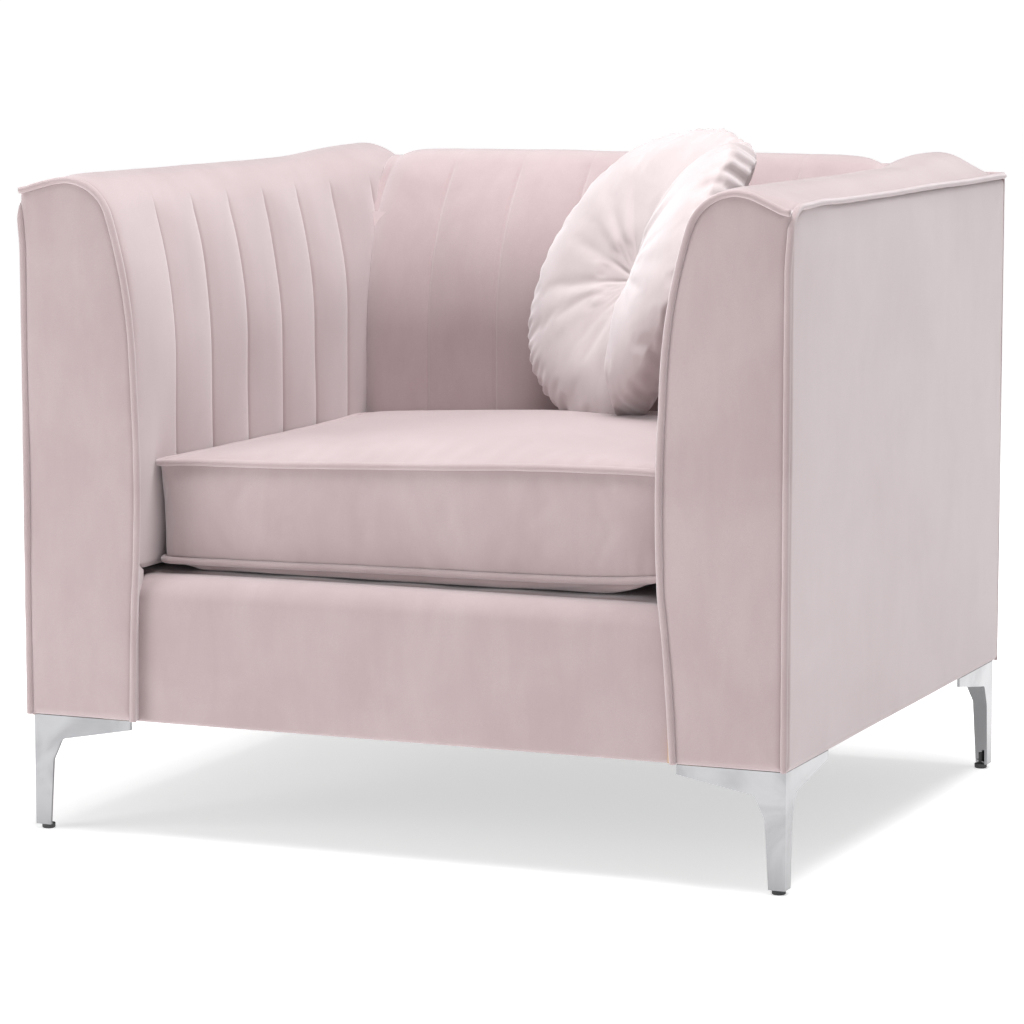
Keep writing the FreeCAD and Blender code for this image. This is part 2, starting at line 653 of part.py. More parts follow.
def back_upholstery(core):
    """Foam, inner cover and outer panel of the back."""
    left_core = mirror("LeftArmCore", core, FreeCAD.Vector(1, 0, 0))
    body = new_body("BackVoid")
    sketch = new_sketch(body, "BackVoidOutline", "YZ_Plane")
    foot_y = "back_inner + cover_thickness + back_pad_thickness"
    polygon(sketch, [
        (foot_y, "0"), (foot_y, "cover_foot + post_depth"),
        ("rear_lining - post_depth - strap_thickness", "top_rail_height - board_thickness * 2"),
        ("rear_lining - post_depth - strap_thickness", "top_rail_height"),
        ("overall_depth", "top_rail_height"), ("overall_depth", "0")])
    pad(body, sketch, "overall_width", symmetric=True)
    inside = inset(BACK_ROLL, "cover_thickness", "rear_lining")
    outside = dict(BACK_ROLL, outer="rear_lining", edge="edge_height - edge_step")
    half_span = "arm_inner + back_overlap"
    pad_slab = back_slab("BackPadSlab", inside, "cover_foot", half_span)
    tools = fuse("BackPadTools", [core, left_core, body])
    node(cut("back_pad", pad_slab, tools))
    whole = back_slab("BackCoverSlab", outside, "cover_foot", half_span)
    hollow = back_slab("BackCoverHollow", inside, "0", "overall_width")
    hollowed = fuse("BackCoverTools", [core, left_core, hollow])
    node(cut("inside_back_cover", whole, hollowed))
    node(box("outside_back_panel", ("-half_width", "half_width"), ("rear_lining", "fabric_rear"),
             ("base_height", "edge_height - panel_thickness")))


def front_rail_upholstery():
    """Rolled foam and cover over the front rail, between the arms."""
    half_span = "arm_inner + cover_thickness - rail_side_gap"

    def rolled(label, amount, foot):
        body = new_body(label)
        sketch = new_sketch(body, label + "Outline", "YZ_Plane")
        top = f"deck_height + front_rail_rise - {amount}"
        rear = "front_rail_depth"
        polygon(sketch, [(amount, foot), (amount, top), (rear, top), (rear, foot)])
        pad(body, sketch, f"2 * ({half_span})", symmetric=True)
        doc.recompute()
        front_top = edges_where(body.Shape, lambda spot, edge: (
            abs(spot.y - number(amount)) < 0.1 and abs(spot.z - number(top)) < 0.1))
        dress(body, "Fillet", front_top, Radius=f"front_rail_roll - {amount}")
        return place(body, y="-front_rail_face")

    wood = box("FrontRailWood", (f"-({half_span}) - 1", f"{half_span} + 1"),
               ("-front_rail_wood", "0"), ("0", "rail_top"))
    deck_room = box("DeckRoom", (f"-({half_span}) - 1", f"{half_span} + 1"),
                    ("-front_rail_wood + board_thickness", "0"), ("0", "deck_height"))
    room = fuse("FrontRailRoom", [wood, deck_room])
    filling = cut("front_rail_pad", rolled("FrontRailFilling", "cover_thickness", "floor_of_frame"),
                  room)
    node(filling)
    shell = rolled("FrontRailShell", "0", "base_height")
    inner = rolled("FrontRailInner", "cover_thickness", "0")
    node(cut("front_rail_cover", shell, fuse("FrontRailShellTools", [inner, room])))


def platform_and_lining(bores):
    """Platform cloth over the springs and the black lining below the frame."""
    node(box("deck_cover", ("-side_rail_inner - board_thickness", "side_rail_inner + board_thickness"),
             ("-front_rail_wood + board_thickness", "seat_rail_rear + board_thickness"),
             ("rail_top", "deck_height")))
    sheet_box = box("DustCoverSheet", ("-lining_face", "lining_face"),
                    ("-board_rear", "rear_lining"), ("base_height", "floor_of_frame"))
    node(cut("dust_cover", sheet_box, bores))


# ---------------------------------------------------------------- piping

def arm_front_piping():
    """Piping round each arm's front, from the floor of the frame over the crest and down."""
    line = inset(ARM_ROLL, "piping_sink", "half_width - piping_sink")
    body = new_body("ArmFrontPiping")
    path = new_sketch(body, "ArmFrontPipingPath", "XZ_Plane")
    roll_outline(path, line, "base_height", closed=False)
    section = new_sketch(body, "ArmFrontPipingSection", "XY_Plane")
    bind(section, "AttachmentOffset.Base.z", "base_height")
    circle(section, "piping_radius", "arm_inner + piping_sink", "0")
    pipe = body.newObject("PartDesign::AdditivePipe", "ArmFrontPipingSweep")
    pipe.Profile = section
    pipe.Spine = (path, [f"Edge{index}" for index in range(1, 7)])
    mirrored_pair("arm_front_welt", place(body, y="-fabric_front + piping_sink"))


def straight_piping():
    """Piping along the outer top edges of the arms and of the back."""
    side = cylinder("ArmTopPiping", "piping_radius", "cover_front + rear_lining",
                    "half_width - piping_sink", "rear_lining", "edge_height - piping_sink")
    side.Placement.Rotation = FreeCAD.Rotation(FreeCAD.Vector(1, 0, 0), 90)
    mirrored_pair("arm_top_welt", side)
    rear = cylinder("back_top_welt", "piping_radius", "overall_width",
                    "-half_width", "fabric_rear - piping_sink", "edge_height - piping_sink")
    rear.Placement.Rotation = FreeCAD.Rotation(FreeCAD.Vector(0, 1, 0), 90)
    node(rear)


# ---------------------------------------------------------------- seat cushion

def rounded_rectangle(sketch, low, far_x, far_y, corner):
    """A rectangle from (low, low) to (far_x, far_y) with round corners, held by the sheet.

    Edges 1 to 4 are the corners, anticlockwise from the one at far_x and low; 5 to 8 join them.
    """
    radius = number(corner)
    near = number(low) + radius
    across = number(far_x) - radius
    along = number(far_y) - radius
    for index, spot in enumerate([(across, near), (across, along), (near, along), (near, near)]):
        ring = Part.Circle(FreeCAD.Vector(*spot, 0), FreeCAD.Vector(0, 0, 1), radius)
        start = math.radians(-90 + 90 * index)
        sketch.addGeometry(Part.ArcOfCircle(ring, start, start + math.pi / 2))
    for index in range(4):
        begin = sketch.Geometry[index].EndPoint
        end = sketch.Geometry[(index + 1) % 4].StartPoint
        sketch.addGeometry(Part.LineSegment(begin, end))
    for index in range(4):
        sketch.addConstraint(Sketcher.Constraint("Tangent", index, 2, 4 + index, 1))
        sketch.addConstraint(Sketcher.Constraint("Tangent", 4 + index, 2, (index + 1) % 4, 1))
        if index % 2 == 0:
            sketch.addConstraint(Sketcher.Constraint("Vertical", 4 + index))
        else:
            sketch.addConstraint(Sketcher.Constraint("Horizontal", 4 + index))
    for index in range(4):
        limit(sketch, "Radius", (index,), corner)
    pin_point(sketch, 0, 3, f"{far_x} - ({corner})", f"{low} + {corner}")
    pin_point(sketch, 2, 3, f"{low} + {corner}", f"{far_y} - ({corner})")


def cushion_block(label, amount):
    """The cushion's shape, smaller all round by an amount: upright sides, sloping top and bottom."""
    body = new_body(label)
    slope = "cushion_bulge_reach"
    inner_height = f"cushion_height - 2 * {amount}"
    levels = [
        (slope, "0"), ("0", "cushion_belly"), ("0", f"{inner_height} - cushion_crown"),
        (slope, inner_height),
    ]
    sections = []
    for index, (reach, level) in enumerate(levels):
        sketch = new_sketch(body, f"{label}Level{index}", "XY_Plane")
        bind(sketch, "AttachmentOffset.Base.z", level)
        rounded_rectangle(sketch, reach, f"2 * cushion_half - 2 * {amount} - {reach}",
                          f"cushion_depth - 2 * {amount} - {reach}", f"cushion_corner - {amount}")
        sections.append(sketch)
    loft = body.newObject("PartDesign::AdditiveLoft", label + "Loft")
    loft.Profile = sections[0]
    loft.Sections = sections[1:]
    loft.Ruled = True
    return place(body, f"-cushion_half + {amount}", f"-cushion_front + piping_proud + {amount}",
                 f"cushion_bottom + {amount}")


def cushion_piping(label, height):
    """A closed loop of piping round the cushion at one of its seams."""
    body = new_body(label)
    path = new_sketch(body, label + "Path", "XY_Plane")
    rounded_rectangle(path, "piping_sink", "2 * cushion_half - piping_sink",
                      "cushion_depth - piping_sink", "cushion_corner - piping_sink")
    section = new_sketch(body, label + "Section", "YZ_Plane")
    bind(section, "AttachmentOffset.Base.z", "cushion_half")
    circle(section, "piping_radius", "piping_sink", "0")
    pipe = body.newObject("PartDesign::AdditivePipe", label + "Sweep")
    pipe.Profile = section
    pipe.Spine = (path, [f"Edge{index}" for index in (8, 1, 5, 2, 6, 3, 7, 4)])
    return place(body, "-cushion_half", "-cushion_front + piping_proud", height)


def seat_cushion():
    """Foam block, cover, piping and the zip across the rear boxing."""
    low = node(cushion_piping("cushion_bottom_welt", "cushion_low_seam"))
    high = node(cushion_piping("cushion_top_welt", "cushion_high_seam"))
    core = node(cushion_block("seat_cushion_core", "cushion_fabric"))
    skin = cushion_block("CushionSkin", "0")
    rear = "cushion_rear"
    middle = "cushion_low_seam + cushion_boxing / 2"
    tape_room = box("ZipRoom", ("-zip_length / 2", "zip_length / 2"),
                    (f"{rear} - zip_thickness", f"{rear} + 1"),
                    (f"{middle} - zip_width / 2", f"{middle} + zip_width / 2"))
    hollow = fuse("CushionCoverTools", [core, low, high, tape_room])
    node(cut("seat_cushion_cover", skin, hollow))
    tape = box("ZipTape", ("-zip_length / 2", "zip_length / 2"),
               (f"{rear} - zip_thickness", f"{rear} - zip_thickness / 2"),
               (f"{middle} - zip_width / 2", f"{middle} + zip_width / 2"))
    node(tape).Label = "cushion_zip_tape"
    slider = box("ZipSlider", ("-zip_length / 2", "-zip_length / 2 + slider_length"),
                 (f"{rear} - zip_thickness / 2 + slider_gap",
                  f"{rear} - zip_thickness / 2 + slider_gap + slider_thickness"),
                 (f"{middle} - slider_width / 2", f"{middle} + slider_width / 2"))
    node(slider).Label = "zip_slider"


# ---------------------------------------------------------------- round pillow

def pillow_outline(sketch, amount, hole):
    """Half section of the pillow: dimple, full belly and round rim, the same above and below."""
    dimple = number(f"pillow_dimple_half - {amount}")
    full = number(f"pillow_half - {amount}")
    rim = number(f"pillow_rim_radius - {amount}")
    edge = number("pillow_radius - pillow_rim_radius")
    middle = number("pillow_radius / 2")
    start = number(hole)
    flat = number("button_radius + dimple_margin")

    def spot(across, up):
        return FreeCAD.Vector(across, up, 0)

    touch = spot(edge + rim / 2, rim * math.sqrt(3) / 2)
    corners = [spot(start, dimple), spot(flat, dimple), touch]
    below = [spot(corner.x, -corner.y) for corner in corners]
    sketch.addGeometry(Part.LineSegment(corners[0], corners[1]))
    sketch.addGeometry(Part.Arc(corners[1], spot(middle, full), touch))
    sketch.addGeometry(Part.Arc(touch, spot(edge + rim, 0), below[2]))
    sketch.addGeometry(Part.Arc(below[2], spot(middle, -full), below[1]))
    sketch.addGeometry(Part.LineSegment(below[1], below[0]))
    sketch.addGeometry(Part.LineSegment(below[0], corners[0]))


def pillow_solid(label, amount, hole):
    body = new_body(label)
    sketch = new_sketch(body, label + "Outline", "XZ_Plane")
    pillow_outline(sketch, amount, hole)
    revolve(body, sketch)
    return pose_on_pillow(body)


def pose_on_pillow(item, flip=False, out="0"):
    """Stand a piece on the pillow's axis, a distance out from its middle."""
    turn = FreeCAD.Rotation(FreeCAD.Vector(0, 0, 1), number("pillow_turn"))
    lean = FreeCAD.Rotation(FreeCAD.Vector(1, 0, 0), 90 - number("pillow_lean"))
    spin = FreeCAD.Rotation(FreeCAD.Vector(1, 0, 0), 180 if flip else 0)
    rotation = turn * lean * spin
    place(item, "pillow_across", "pillow_behind", "pillow_height")
    item.Placement.Rotation = rotation
    if out != "0":
        way = rotation.multVec(FreeCAD.Vector(0, 0, 1))
        for axis, start, share in (("x", "pillow_across", way.x), ("y", "pillow_behind", way.y),
                                   ("z", "pillow_height", way.z)):
            bind(item, f"Placement.Base.{axis}", f"{start} + ({out}) * {share:.12f}")
    return item


def button(label, flip):
    """A covered button: a low dome."""
    body = new_body(label)
    sketch = new_sketch(body, label + "Outline", "XZ_Plane")
    polygon(sketch, [("0", "0"), ("button_radius", "0"), ("button_radius", "button_height / 3"),
                     ("button_crown", "button_crown_height"), ("0", "button_height")])
    revolve(body, sketch)
    return pose_on_pillow(body, flip, "pillow_dimple_half")


def round_pillow():
    """Filling, cover, two buttons and the twine between them."""
    hole = "twine_radius + fit_clearance"
    filling = node(pillow_solid("pillow_filling", "pillow_fabric", hole))
    cover = pillow_solid("PillowSkin", "0", hole)
    node(cut("pillow_cover", cover, filling))
    node(button("pillow_front_button", False))
    node(button("pillow_rear_button", True))
    twine = cylinder("pillow_twine", "twine_radius", "2 * pillow_dimple_half")
    node(pose_on_pillow(twine, out="-pillow_dimple_half"))


# ---------------------------------------------------------------- feet

# Screw places from the foot's outer corner.
SCREW_SPOTS = [
    ("block_across + screw_near", "block_along + screw_near"),
    ("block_across + screw_far", "block_along + screw_near"),
    ("block_across + screw_near", "block_along + screw_far"),
]


def foot_wing(body, plane, length, name):
    """One plate of the angle: a wing that runs into the upright, drawn from the outer corner."""
    sketch = new_sketch(body, name, plane)
    polygon(sketch, [
        ("0", "foot_height"), (length, "foot_height"), (length, "foot_height - foot_wing_end"),
        ("foot_leg_width + foot_leg_flare + foot_root_reach", "foot_height - foot_wing_root"),
        ("foot_leg_width + foot_leg_flare", "foot_height - foot_wing_root - foot_root_drop"),
        ("foot_leg_width", "0"), ("0", "0")])
    return sketch


def foot():
    """The left front foot: two winged plates at right angles, mounting plate and end plate."""
    body = new_body("FootFrontLeft")
    pad(body, foot_wing(body, "XZ_Plane", "foot_front_wing", "FrontWing"), "foot_wall",
        reversed_way=True)
    pad(body, foot_wing(body, "YZ_Plane", "foot_side_wing", "SideWing"), "foot_wall")
    doc.recompute()
    wall = number("foot_wall")
    upright = number("foot_leg_width + foot_leg_flare")
    roots = (upright, upright + number("foot_root_reach"))

    def is_bend(spot, edge):
        """Edges across the plate where the wing's lower edge changes direction."""
        far = max(spot.x, spot.y)
        across = abs(edge.Length - wall) < 0.01
        return across and any(abs(far - root) < 0.1 for root in roots)

    dress(body, "Fillet", edges_where(body.Shape, is_bend), Radius="foot_wall * 2.5")
    plate = new_sketch(body, "MountingPlate", "XY_Plane")
    bind(plate, "AttachmentOffset.Base.z", "foot_height - foot_wall")
    polygon(plate, [("0", "0"), ("foot_flange", "0"), ("0", "foot_flange")])
    pad(body, plate, "foot_wall")
    end = new_sketch(body, "EndPlate", "XY_Plane")
    polygon(end, [("0", "0"), ("foot_leg_width", "0"), ("foot_leg_width", "foot_wall"),
                  ("foot_wall", "foot_leg_width"), ("0", "foot_leg_width")])
    pad(body, end, "foot_wall")
    holes = new_sketch(body, "Holes", "XY_Plane")
    bind(holes, "AttachmentOffset.Base.z", "foot_height")
    for across, along in SCREW_SPOTS:
        circle(holes, "screw_radius + fit_clearance", across, along)
    pocket_through(body, holes)
    stem_hole = new_sketch(body, "StemHole", "XY_Plane")
    circle(stem_hole, "glide_stem + fit_clearance / 4", "glide_inset", "glide_inset")
    feature = body.newObject("PartDesign::Pocket", "StemPocket")
    feature.Profile = stem_hole
    bind(feature, "Length", "foot_wall * 2")
    feature.Reversed = True
    doc.recompute()
    return place(body, "corner_across", "corner_along", "glide_height")


def screw_cylinders(label, radius, bottom, height):
    """One upright cylinder on each screw's line at the left front corner."""
    return [cylinder(f"{label}{index}", radius, height, f"corner_across + {across}",
                     f"corner_along + {along}", bottom)
            for index, (across, along) in enumerate(SCREW_SPOTS)]


def foot_screws():
    """Pan-headed wood screws below the mounting plate of the left front foot."""
    bottom = "base_height - foot_wall"
    shanks = screw_cylinders("Shank", "screw_radius", bottom, "foot_wall + screw_length")
    heads = screw_cylinders("Head", "screw_head_radius", f"{bottom} - screw_head_height",
                            "screw_head_height")
    return [fuse(f"Screw{index}", list(pair)) for index, pair in enumerate(zip(shanks, heads))]


def glide():
    """A plastic glide: a thick disc with a stem pushed up into the foot."""
    body = new_body("GlideFrontLeft")
    sketch = new_sketch(body, "GlideOutline", "XZ_Plane")
    polygon(sketch, [
        ("0", "0"), ("glide_radius - glide_chamfer", "0"), ("glide_radius", "glide_chamfer"),
        ("glide_radius", "glide_height"), ("glide_stem", "glide_height"),
        ("glide_stem", "glide_height + glide_stem_length"), ("0", "glide_height + glide_stem_length")])
    revolve(body, sketch)
    return place(body, "corner_across + glide_inset", "corner_along + glide_inset")


def corner_block(bores):
    """A triangular block in the left front corner of the frame, bored for the foot's screws."""
    body = new_body("CornerBlock")
    sketch = new_sketch(body, "CornerBlockOutline", "XY_Plane")
    polygon(sketch, [("0", "0"), ("block_leg", "0"), ("0", "block_leg")])
    pad(body, sketch, "block_height")
    place(body, "corner_across + block_across", "corner_along + block_along", "floor_of_frame")
    return cut("BoredBlock", body, bores)


def at_four_corners(stem, piece):
    """The left front piece and its mirror images at the other three corners."""
    across = FreeCAD.Vector(1, 0, 0)
    along = FreeCAD.Vector(0, 1, 0)
    piece.Label = stem + "_front_left"
    rear = mirror(stem + "_rear_left", piece, along)
    return [piece, mirror(stem + "_front_right", piece, across), rear,
            mirror(stem + "_rear_right", rear, across)]


def corners():
    """Feet, glides, screws and blocks; returns the bores that the lining needs."""
    for piece in at_four_corners("foot", foot()):
        node(piece)
    node(group("glides", at_four_corners("glide", glide())))
    node(group("foot_screws", [piece for index, screw in enumerate(foot_screws())
                               for piece in at_four_corners(f"screw_{index}", screw)]))
    pins = fuse("ScrewBores", screw_cylinders("Bore", "screw_radius + fit_clearance",
                                              "base_height - foot_wall",
                                              "foot_wall + screw_length + fit_clearance"))
    node(group("corner_blocks", at_four_corners("block", corner_block(pins))))
    return fuse("AllScrewBores", at_four_corners("bores", pins))


# ---------------------------------------------------------------- assembly

def check_and_write():
    """Stop on any failed object, then write each sub-part."""
    doc.recompute()
    failed = [item.Label for item in doc.Objects
              if "Invalid" in item.State or "Error" in item.State]
    if failed:
        raise ValueError(f"objects that failed: {failed}")
    os.makedirs("parts", exist_ok=True)
    for item in nodes:
        shape = item.Shape
        if shape.isNull() or not shape.isValid() or not shape.Solids:
            raise ValueError(f"{item.Label} has no valid shape")
    for item in nodes:
        item.Shape.exportStep(f"parts/{item.Label}.step")
    print(f"{len(nodes)} sub-parts written")


def main():
    """Build every sub-part and write it."""
    fill_sheet()
    back_envelope = back_slab("BackEnvelope", BACK_ROLL, "0", "arm_inner + back_overlap")
    core = box("ArmCore", ("arm_void", "overall_width"), ("-overall_depth", "overall_depth"),
               ("0", "top_rail_height"))
    arm_frames()
    back_frame()
    seat_frame()
    seat_springs()
    back_webbing()
    arm_upholstery(core, back_envelope)
    back_upholstery(core)
    front_rail_upholstery()
    arm_front_piping()
    straight_piping()
    platform_and_lining(corners())
    seat_cushion()
    round_pillow()
    check_and_write()


main()
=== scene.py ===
"""A channel-quilted velvet armchair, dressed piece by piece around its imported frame."""

import logging
import math
from dataclasses import dataclass
from enum import Enum
from typing import Callable, Iterable, Sequence

import bmesh
import bpy
import numpy as np
from mathutils import Matrix, Vector


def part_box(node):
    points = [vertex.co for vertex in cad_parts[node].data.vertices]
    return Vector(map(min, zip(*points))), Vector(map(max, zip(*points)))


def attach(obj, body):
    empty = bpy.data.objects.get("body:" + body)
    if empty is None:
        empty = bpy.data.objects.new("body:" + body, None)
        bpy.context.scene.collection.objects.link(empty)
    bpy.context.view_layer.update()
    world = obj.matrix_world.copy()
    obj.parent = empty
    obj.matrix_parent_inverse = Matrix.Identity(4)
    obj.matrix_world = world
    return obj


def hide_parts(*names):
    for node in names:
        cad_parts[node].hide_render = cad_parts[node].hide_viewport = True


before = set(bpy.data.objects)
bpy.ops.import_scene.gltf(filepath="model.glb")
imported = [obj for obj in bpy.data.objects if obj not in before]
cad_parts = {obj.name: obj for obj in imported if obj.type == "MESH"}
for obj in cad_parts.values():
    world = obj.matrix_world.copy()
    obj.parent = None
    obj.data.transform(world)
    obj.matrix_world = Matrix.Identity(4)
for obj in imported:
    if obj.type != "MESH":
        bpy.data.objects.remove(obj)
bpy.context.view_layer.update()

log = logging.getLogger("armchair")
Colour = tuple[float, float, float]
TOP_EDGE = 0.766  # height of the outer top edges, in metres
FRONT, REAR = -0.417, 0.417  # faces of the wooden frame
CORD = 0.0042  # radius of the piping on the arms and the back
STATION = 0.0065  # usual gap between stations along a quilted pad


class Side(Enum):
    """Which arm or foot a piece belongs to, as the sign of its place across the chair."""

    LEFT = -1
    RIGHT = 1

    @property
    def word(self) -> str:
        """The ending that this side's pieces carry."""
        return self.name.lower()


class Body(Enum):
    """The bodies that pieces move with."""

    CHAIR = "chair"
    CUSHION = "seat_cushion"
    SLIDER = "zip_slider"
    PILLOW = "pillow"


# ---------------------------------------------------------------- numbers and curves

def eased(value: np.ndarray | float) -> np.ndarray | float:
    """A smooth step.

    Args:
        value: position, of which 0 to 1 counts.

    Returns:
        0 below 0, 1 above 1, and a soft S between.
    """
    held = np.clip(value, 0.0, 1.0)
    return held * held * (3 - 2 * held)


def domed(gap: np.ndarray, width: float) -> np.ndarray:
    """A rise from 0 at an edge to 1 at a distance of one width, level from there on.

    Args:
        gap: distance from the edge.
        width: how far the rise reaches.

    Returns:
        The share of the rise at each place.
    """
    return 1 - (1 - np.clip(gap / width, 0, 1)) ** 2


def rounded(gap: np.ndarray, radius: float) -> np.ndarray:
    """The same as a quarter circle, which leaves the edge upright."""
    return np.sqrt(domed(gap, radius))


def rectangle(wide: np.ndarray, tall: np.ndarray) -> tuple[np.ndarray, np.ndarray, np.ndarray]:
    """A grid of places over a rectangle.

    Args:
        wide: stations along the first side.
        tall: stations along the second.

    Returns:
        Places along the first side, along the second, and their distance from the edge.
    """
    across, up = np.meshgrid(wide, tall, indexing="ij")
    return across, up, np.minimum.reduce([across - wide[0], wide[-1] - across, up - tall[0], tall[-1] - up])


def ripple(points: np.ndarray, seed: int, length: float, height: float) -> np.ndarray:
    """Soft unevenness that hand-stretched cloth has.

    Args:
        points: places, with x, y, z in the last axis.
        seed: picks the pattern.
        length: rough distance between crests, in metres.
        height: rough size of the waves, in metres.

    Returns:
        A lift for each place, in metres.
    """
    draw = np.random.default_rng(seed)
    lift = np.zeros(points.shape[:-1])
    waves = 7
    for _ in range(waves):
        way = draw.normal(size=3)
        way /= np.linalg.norm(way)
        stretch = length * draw.uniform(0.6, 1.7)
        lift += np.sin(math.tau * (points @ way) / stretch + draw.uniform(0, math.tau))
    return lift * height / math.sqrt(waves)


def spread(start: float, end: float, step: float, seams: Iterable[float] = (),
           close: Sequence[float] = (0.001, 0.0024, 0.0045, 0.008)) -> np.ndarray:
    """Stations along a piece, crowded round its seams.

    Args:
        start: first station.
        end: last station.
        step: usual gap.
        seams: places that get a station of their own.
        close: distances of the extra stations beside each seam.

    Returns:
        The stations in order.
    """
    seams = [seam for seam in seams if start < seam < end]
    even = np.linspace(start, end, max(2, round((end - start) / step) + 1))
    clear = close[-1] + step * 0.4
    kept = [even[0], *(v for v in even[1:-1] if all(abs(v - seam) > clear for seam in seams)), even[-1]]
    extra = [seam + sign * gap for seam in seams for gap in (0.0, *close) for sign in (-1, 1)]
    return np.unique(np.round([*kept, *(v for v in extra if start < v < end)], 7))


def crowded(count: int) -> np.ndarray:
    """As many positions from 0 to 1, closer together towards both ends."""
    return 0.5 - 0.5 * np.cos(np.linspace(0, math.pi, count))


def resampled(path: np.ndarray, count: int, places: np.ndarray | None = None) -> np.ndarray:
    """A polyline with its points spread again by length.

    Args:
        path: points along the line.
        count: how many points to return.
        places: positions from 0 to 1 along the length, or None for even ones.

    Returns:
        The new points.
    """
    steps = np.r_[0, np.cumsum(np.linalg.norm(np.diff(path, axis=0), axis=1))]
    wanted = (np.linspace(0, 1, count) if places is None else places) * steps[-1]
    return np.stack([np.interp(wanted, steps, path[:, axis]) for axis in range(path.shape[1])], axis=1)


def normals_of(grid: np.ndarray, towards: Sequence[float]) -> np.ndarray:
    """Unit normals of a grid of points.

    Args:
        grid: rows and columns of points.
        towards: a direction that the normals' average has to agree with.

    Returns:
        One normal for each point.
    """
    found = np.cross(np.gradient(grid, axis=0), np.gradient(grid, axis=1))
    found /= np.maximum(np.linalg.norm(found, axis=-1, keepdims=True), 1e-12)
    return found if float((found @ np.array(towards, float)).sum()) > 0 else -found


def along_stations(stations: np.ndarray, section: np.ndarray) -> np.ndarray:
    """A section's points repeated at every station, each as (station, first, second)."""
    return np.stack(np.broadcast_arrays(stations[:, None], section[None, :, 0], section[None, :, 1]), axis=-1)


def coons(left: np.ndarray, right: np.ndarray, bottom: np.ndarray, top: np.ndarray) -> np.ndarray:
    """A patch stretched between four edges that meet at their ends.

    Args:
        left: points up the left edge.
        right: points up the right edge, as many.
        bottom: points along the bottom, from left to right.
        top: points along the top, as many.

    Returns:
        Rows from bottom to top of points from left to right.
    """
    up = np.r_[0, np.cumsum(np.linalg.norm(np.diff(right, axis=0), axis=1))]
    up = (up / up[-1])[:, None, None]
    over = np.r_[0, np.cumsum(np.linalg.norm(np.diff(bottom, axis=0), axis=1))]
    over = (over / over[-1])[None, :, None]
    ruled_over = left[:, None] * (1 - over) + right[:, None] * over
    ruled_up = bottom[None] * (1 - up) + top[None] * up
    corners = ((left[0] * (1 - over) + right[0] * over) * (1 - up)
               + (left[-1] * (1 - over) + right[-1] * over) * up)
    return ruled_over + ruled_up - corners


@dataclass(frozen=True)
class Roll:
    """The outline of a pad that stands up, leans out and rolls over to its outer edge, in metres."""

    face: float
    crest_at: float
    crest: float
    crest_radius: float
    sweep_radius: float
    edge_at: float
    edge: float
    foot: float

    def outline(self, parts: Sequence[int] = (34, 26, 30, 8)) -> np.ndarray:
        """Points from the foot of the upright face, over the crest, to the outer edge.

        Args:
            parts: how many points the upright, the sweep, the crest and the slope get.

        Returns:
            Rows of distance across and height.
        """
        reach = self.crest_at - self.face
        axis = self.crest - self.crest_radius
        gap = self.sweep_radius - self.crest_radius
        start = axis - math.sqrt(max(gap ** 2 - (self.sweep_radius - reach) ** 2, 0))
        lean = math.atan2(axis - start, reach - self.sweep_radius)
        out, down = self.edge_at - self.face - reach, self.edge - axis
        slope = math.atan2(down, out) + math.acos(min(1, self.crest_radius / math.hypot(out, down)))
        rise = np.linspace(self.foot, start, parts[0], endpoint=False)
        upright = np.stack([np.zeros(parts[0]), rise], axis=1)
        turn = np.linspace(math.pi, lean, parts[1], endpoint=False)
        sweep = np.stack([self.sweep_radius * (1 + np.cos(turn)),
                          start + self.sweep_radius * np.sin(turn)], axis=1)
        turn = np.linspace(lean, slope, parts[2])
        crest = np.stack([reach + self.crest_radius * np.cos(turn),
                          axis + self.crest_radius * np.sin(turn)], axis=1)
        share = np.linspace(0, 1, parts[3] + 1)[1:, None]
        edge = np.array([self.edge_at - self.face, self.edge])
        line = crest[-1] * (1 - share) + edge * share
        points = np.concatenate([upright, sweep, crest, line])
        points[:, 0] += self.face
        return points


@dataclass(frozen=True)
class Channels:
    """Rows of stuffed channels between lines of stitching, in metres."""

    pitch: float
    first: float
    depth: float = 0.0032
    stitch: float = 0.0016
    thread: float = 0.0020
    fullness: float = 2.6

    def seams(self, start: float, end: float) -> list[float]:
        """The seams that lie between two places."""
        low = math.ceil((start - self.first) / self.pitch)
        high = math.floor((end - self.first) / self.pitch)
        return [self.first + self.pitch * step for step in range(low, high + 1)]

    def lift(self, along: np.ndarray) -> np.ndarray:
        """How far the cloth stands above the seams' level.

        Args:
            along: places across the channels.

        Returns:
            The lift at each place.
        """
        near = np.abs((along - self.first + self.pitch / 2) % self.pitch - self.pitch / 2)
        share = near / (self.pitch / 2)
        return self.depth * (1 - (1 - share) ** self.fullness) - self.stitch * np.exp(-(near / self.thread) ** 2)


# ---------------------------------------------------------------- meshes

def only(piece: bpy.types.Object) -> None:
    """Select one object and nothing else."""
    bpy.ops.object.select_all(action="DESELECT")
    piece.select_set(True)
    bpy.context.view_layer.objects.active = piece


def cleaned(mesh: bpy.types.Mesh) -> None:
    """Merge doubled corners, turn the faces outwards and shade them smooth.

    Args:
        mesh: the mesh to change.
    """
    work = bmesh.new()
    work.from_mesh(mesh)
    bmesh.ops.remove_doubles(work, verts=work.verts, dist=1e-6)
    bmesh.ops.recalc_face_normals(work, faces=work.faces)
    work.to_mesh(mesh)
    work.free()
    mesh.polygons.foreach_set("use_smooth", [True] * len(mesh.polygons))


def smoothed(piece: bpy.types.Object) -> None:
    """Subdivide a piece once, with rounding."""
    only(piece)
    smooth = piece.modifiers.new("Smooth", "SUBSURF")
    smooth.levels = smooth.render_levels = 1
    bpy.ops.object.modifier_apply(modifier=smooth.name)


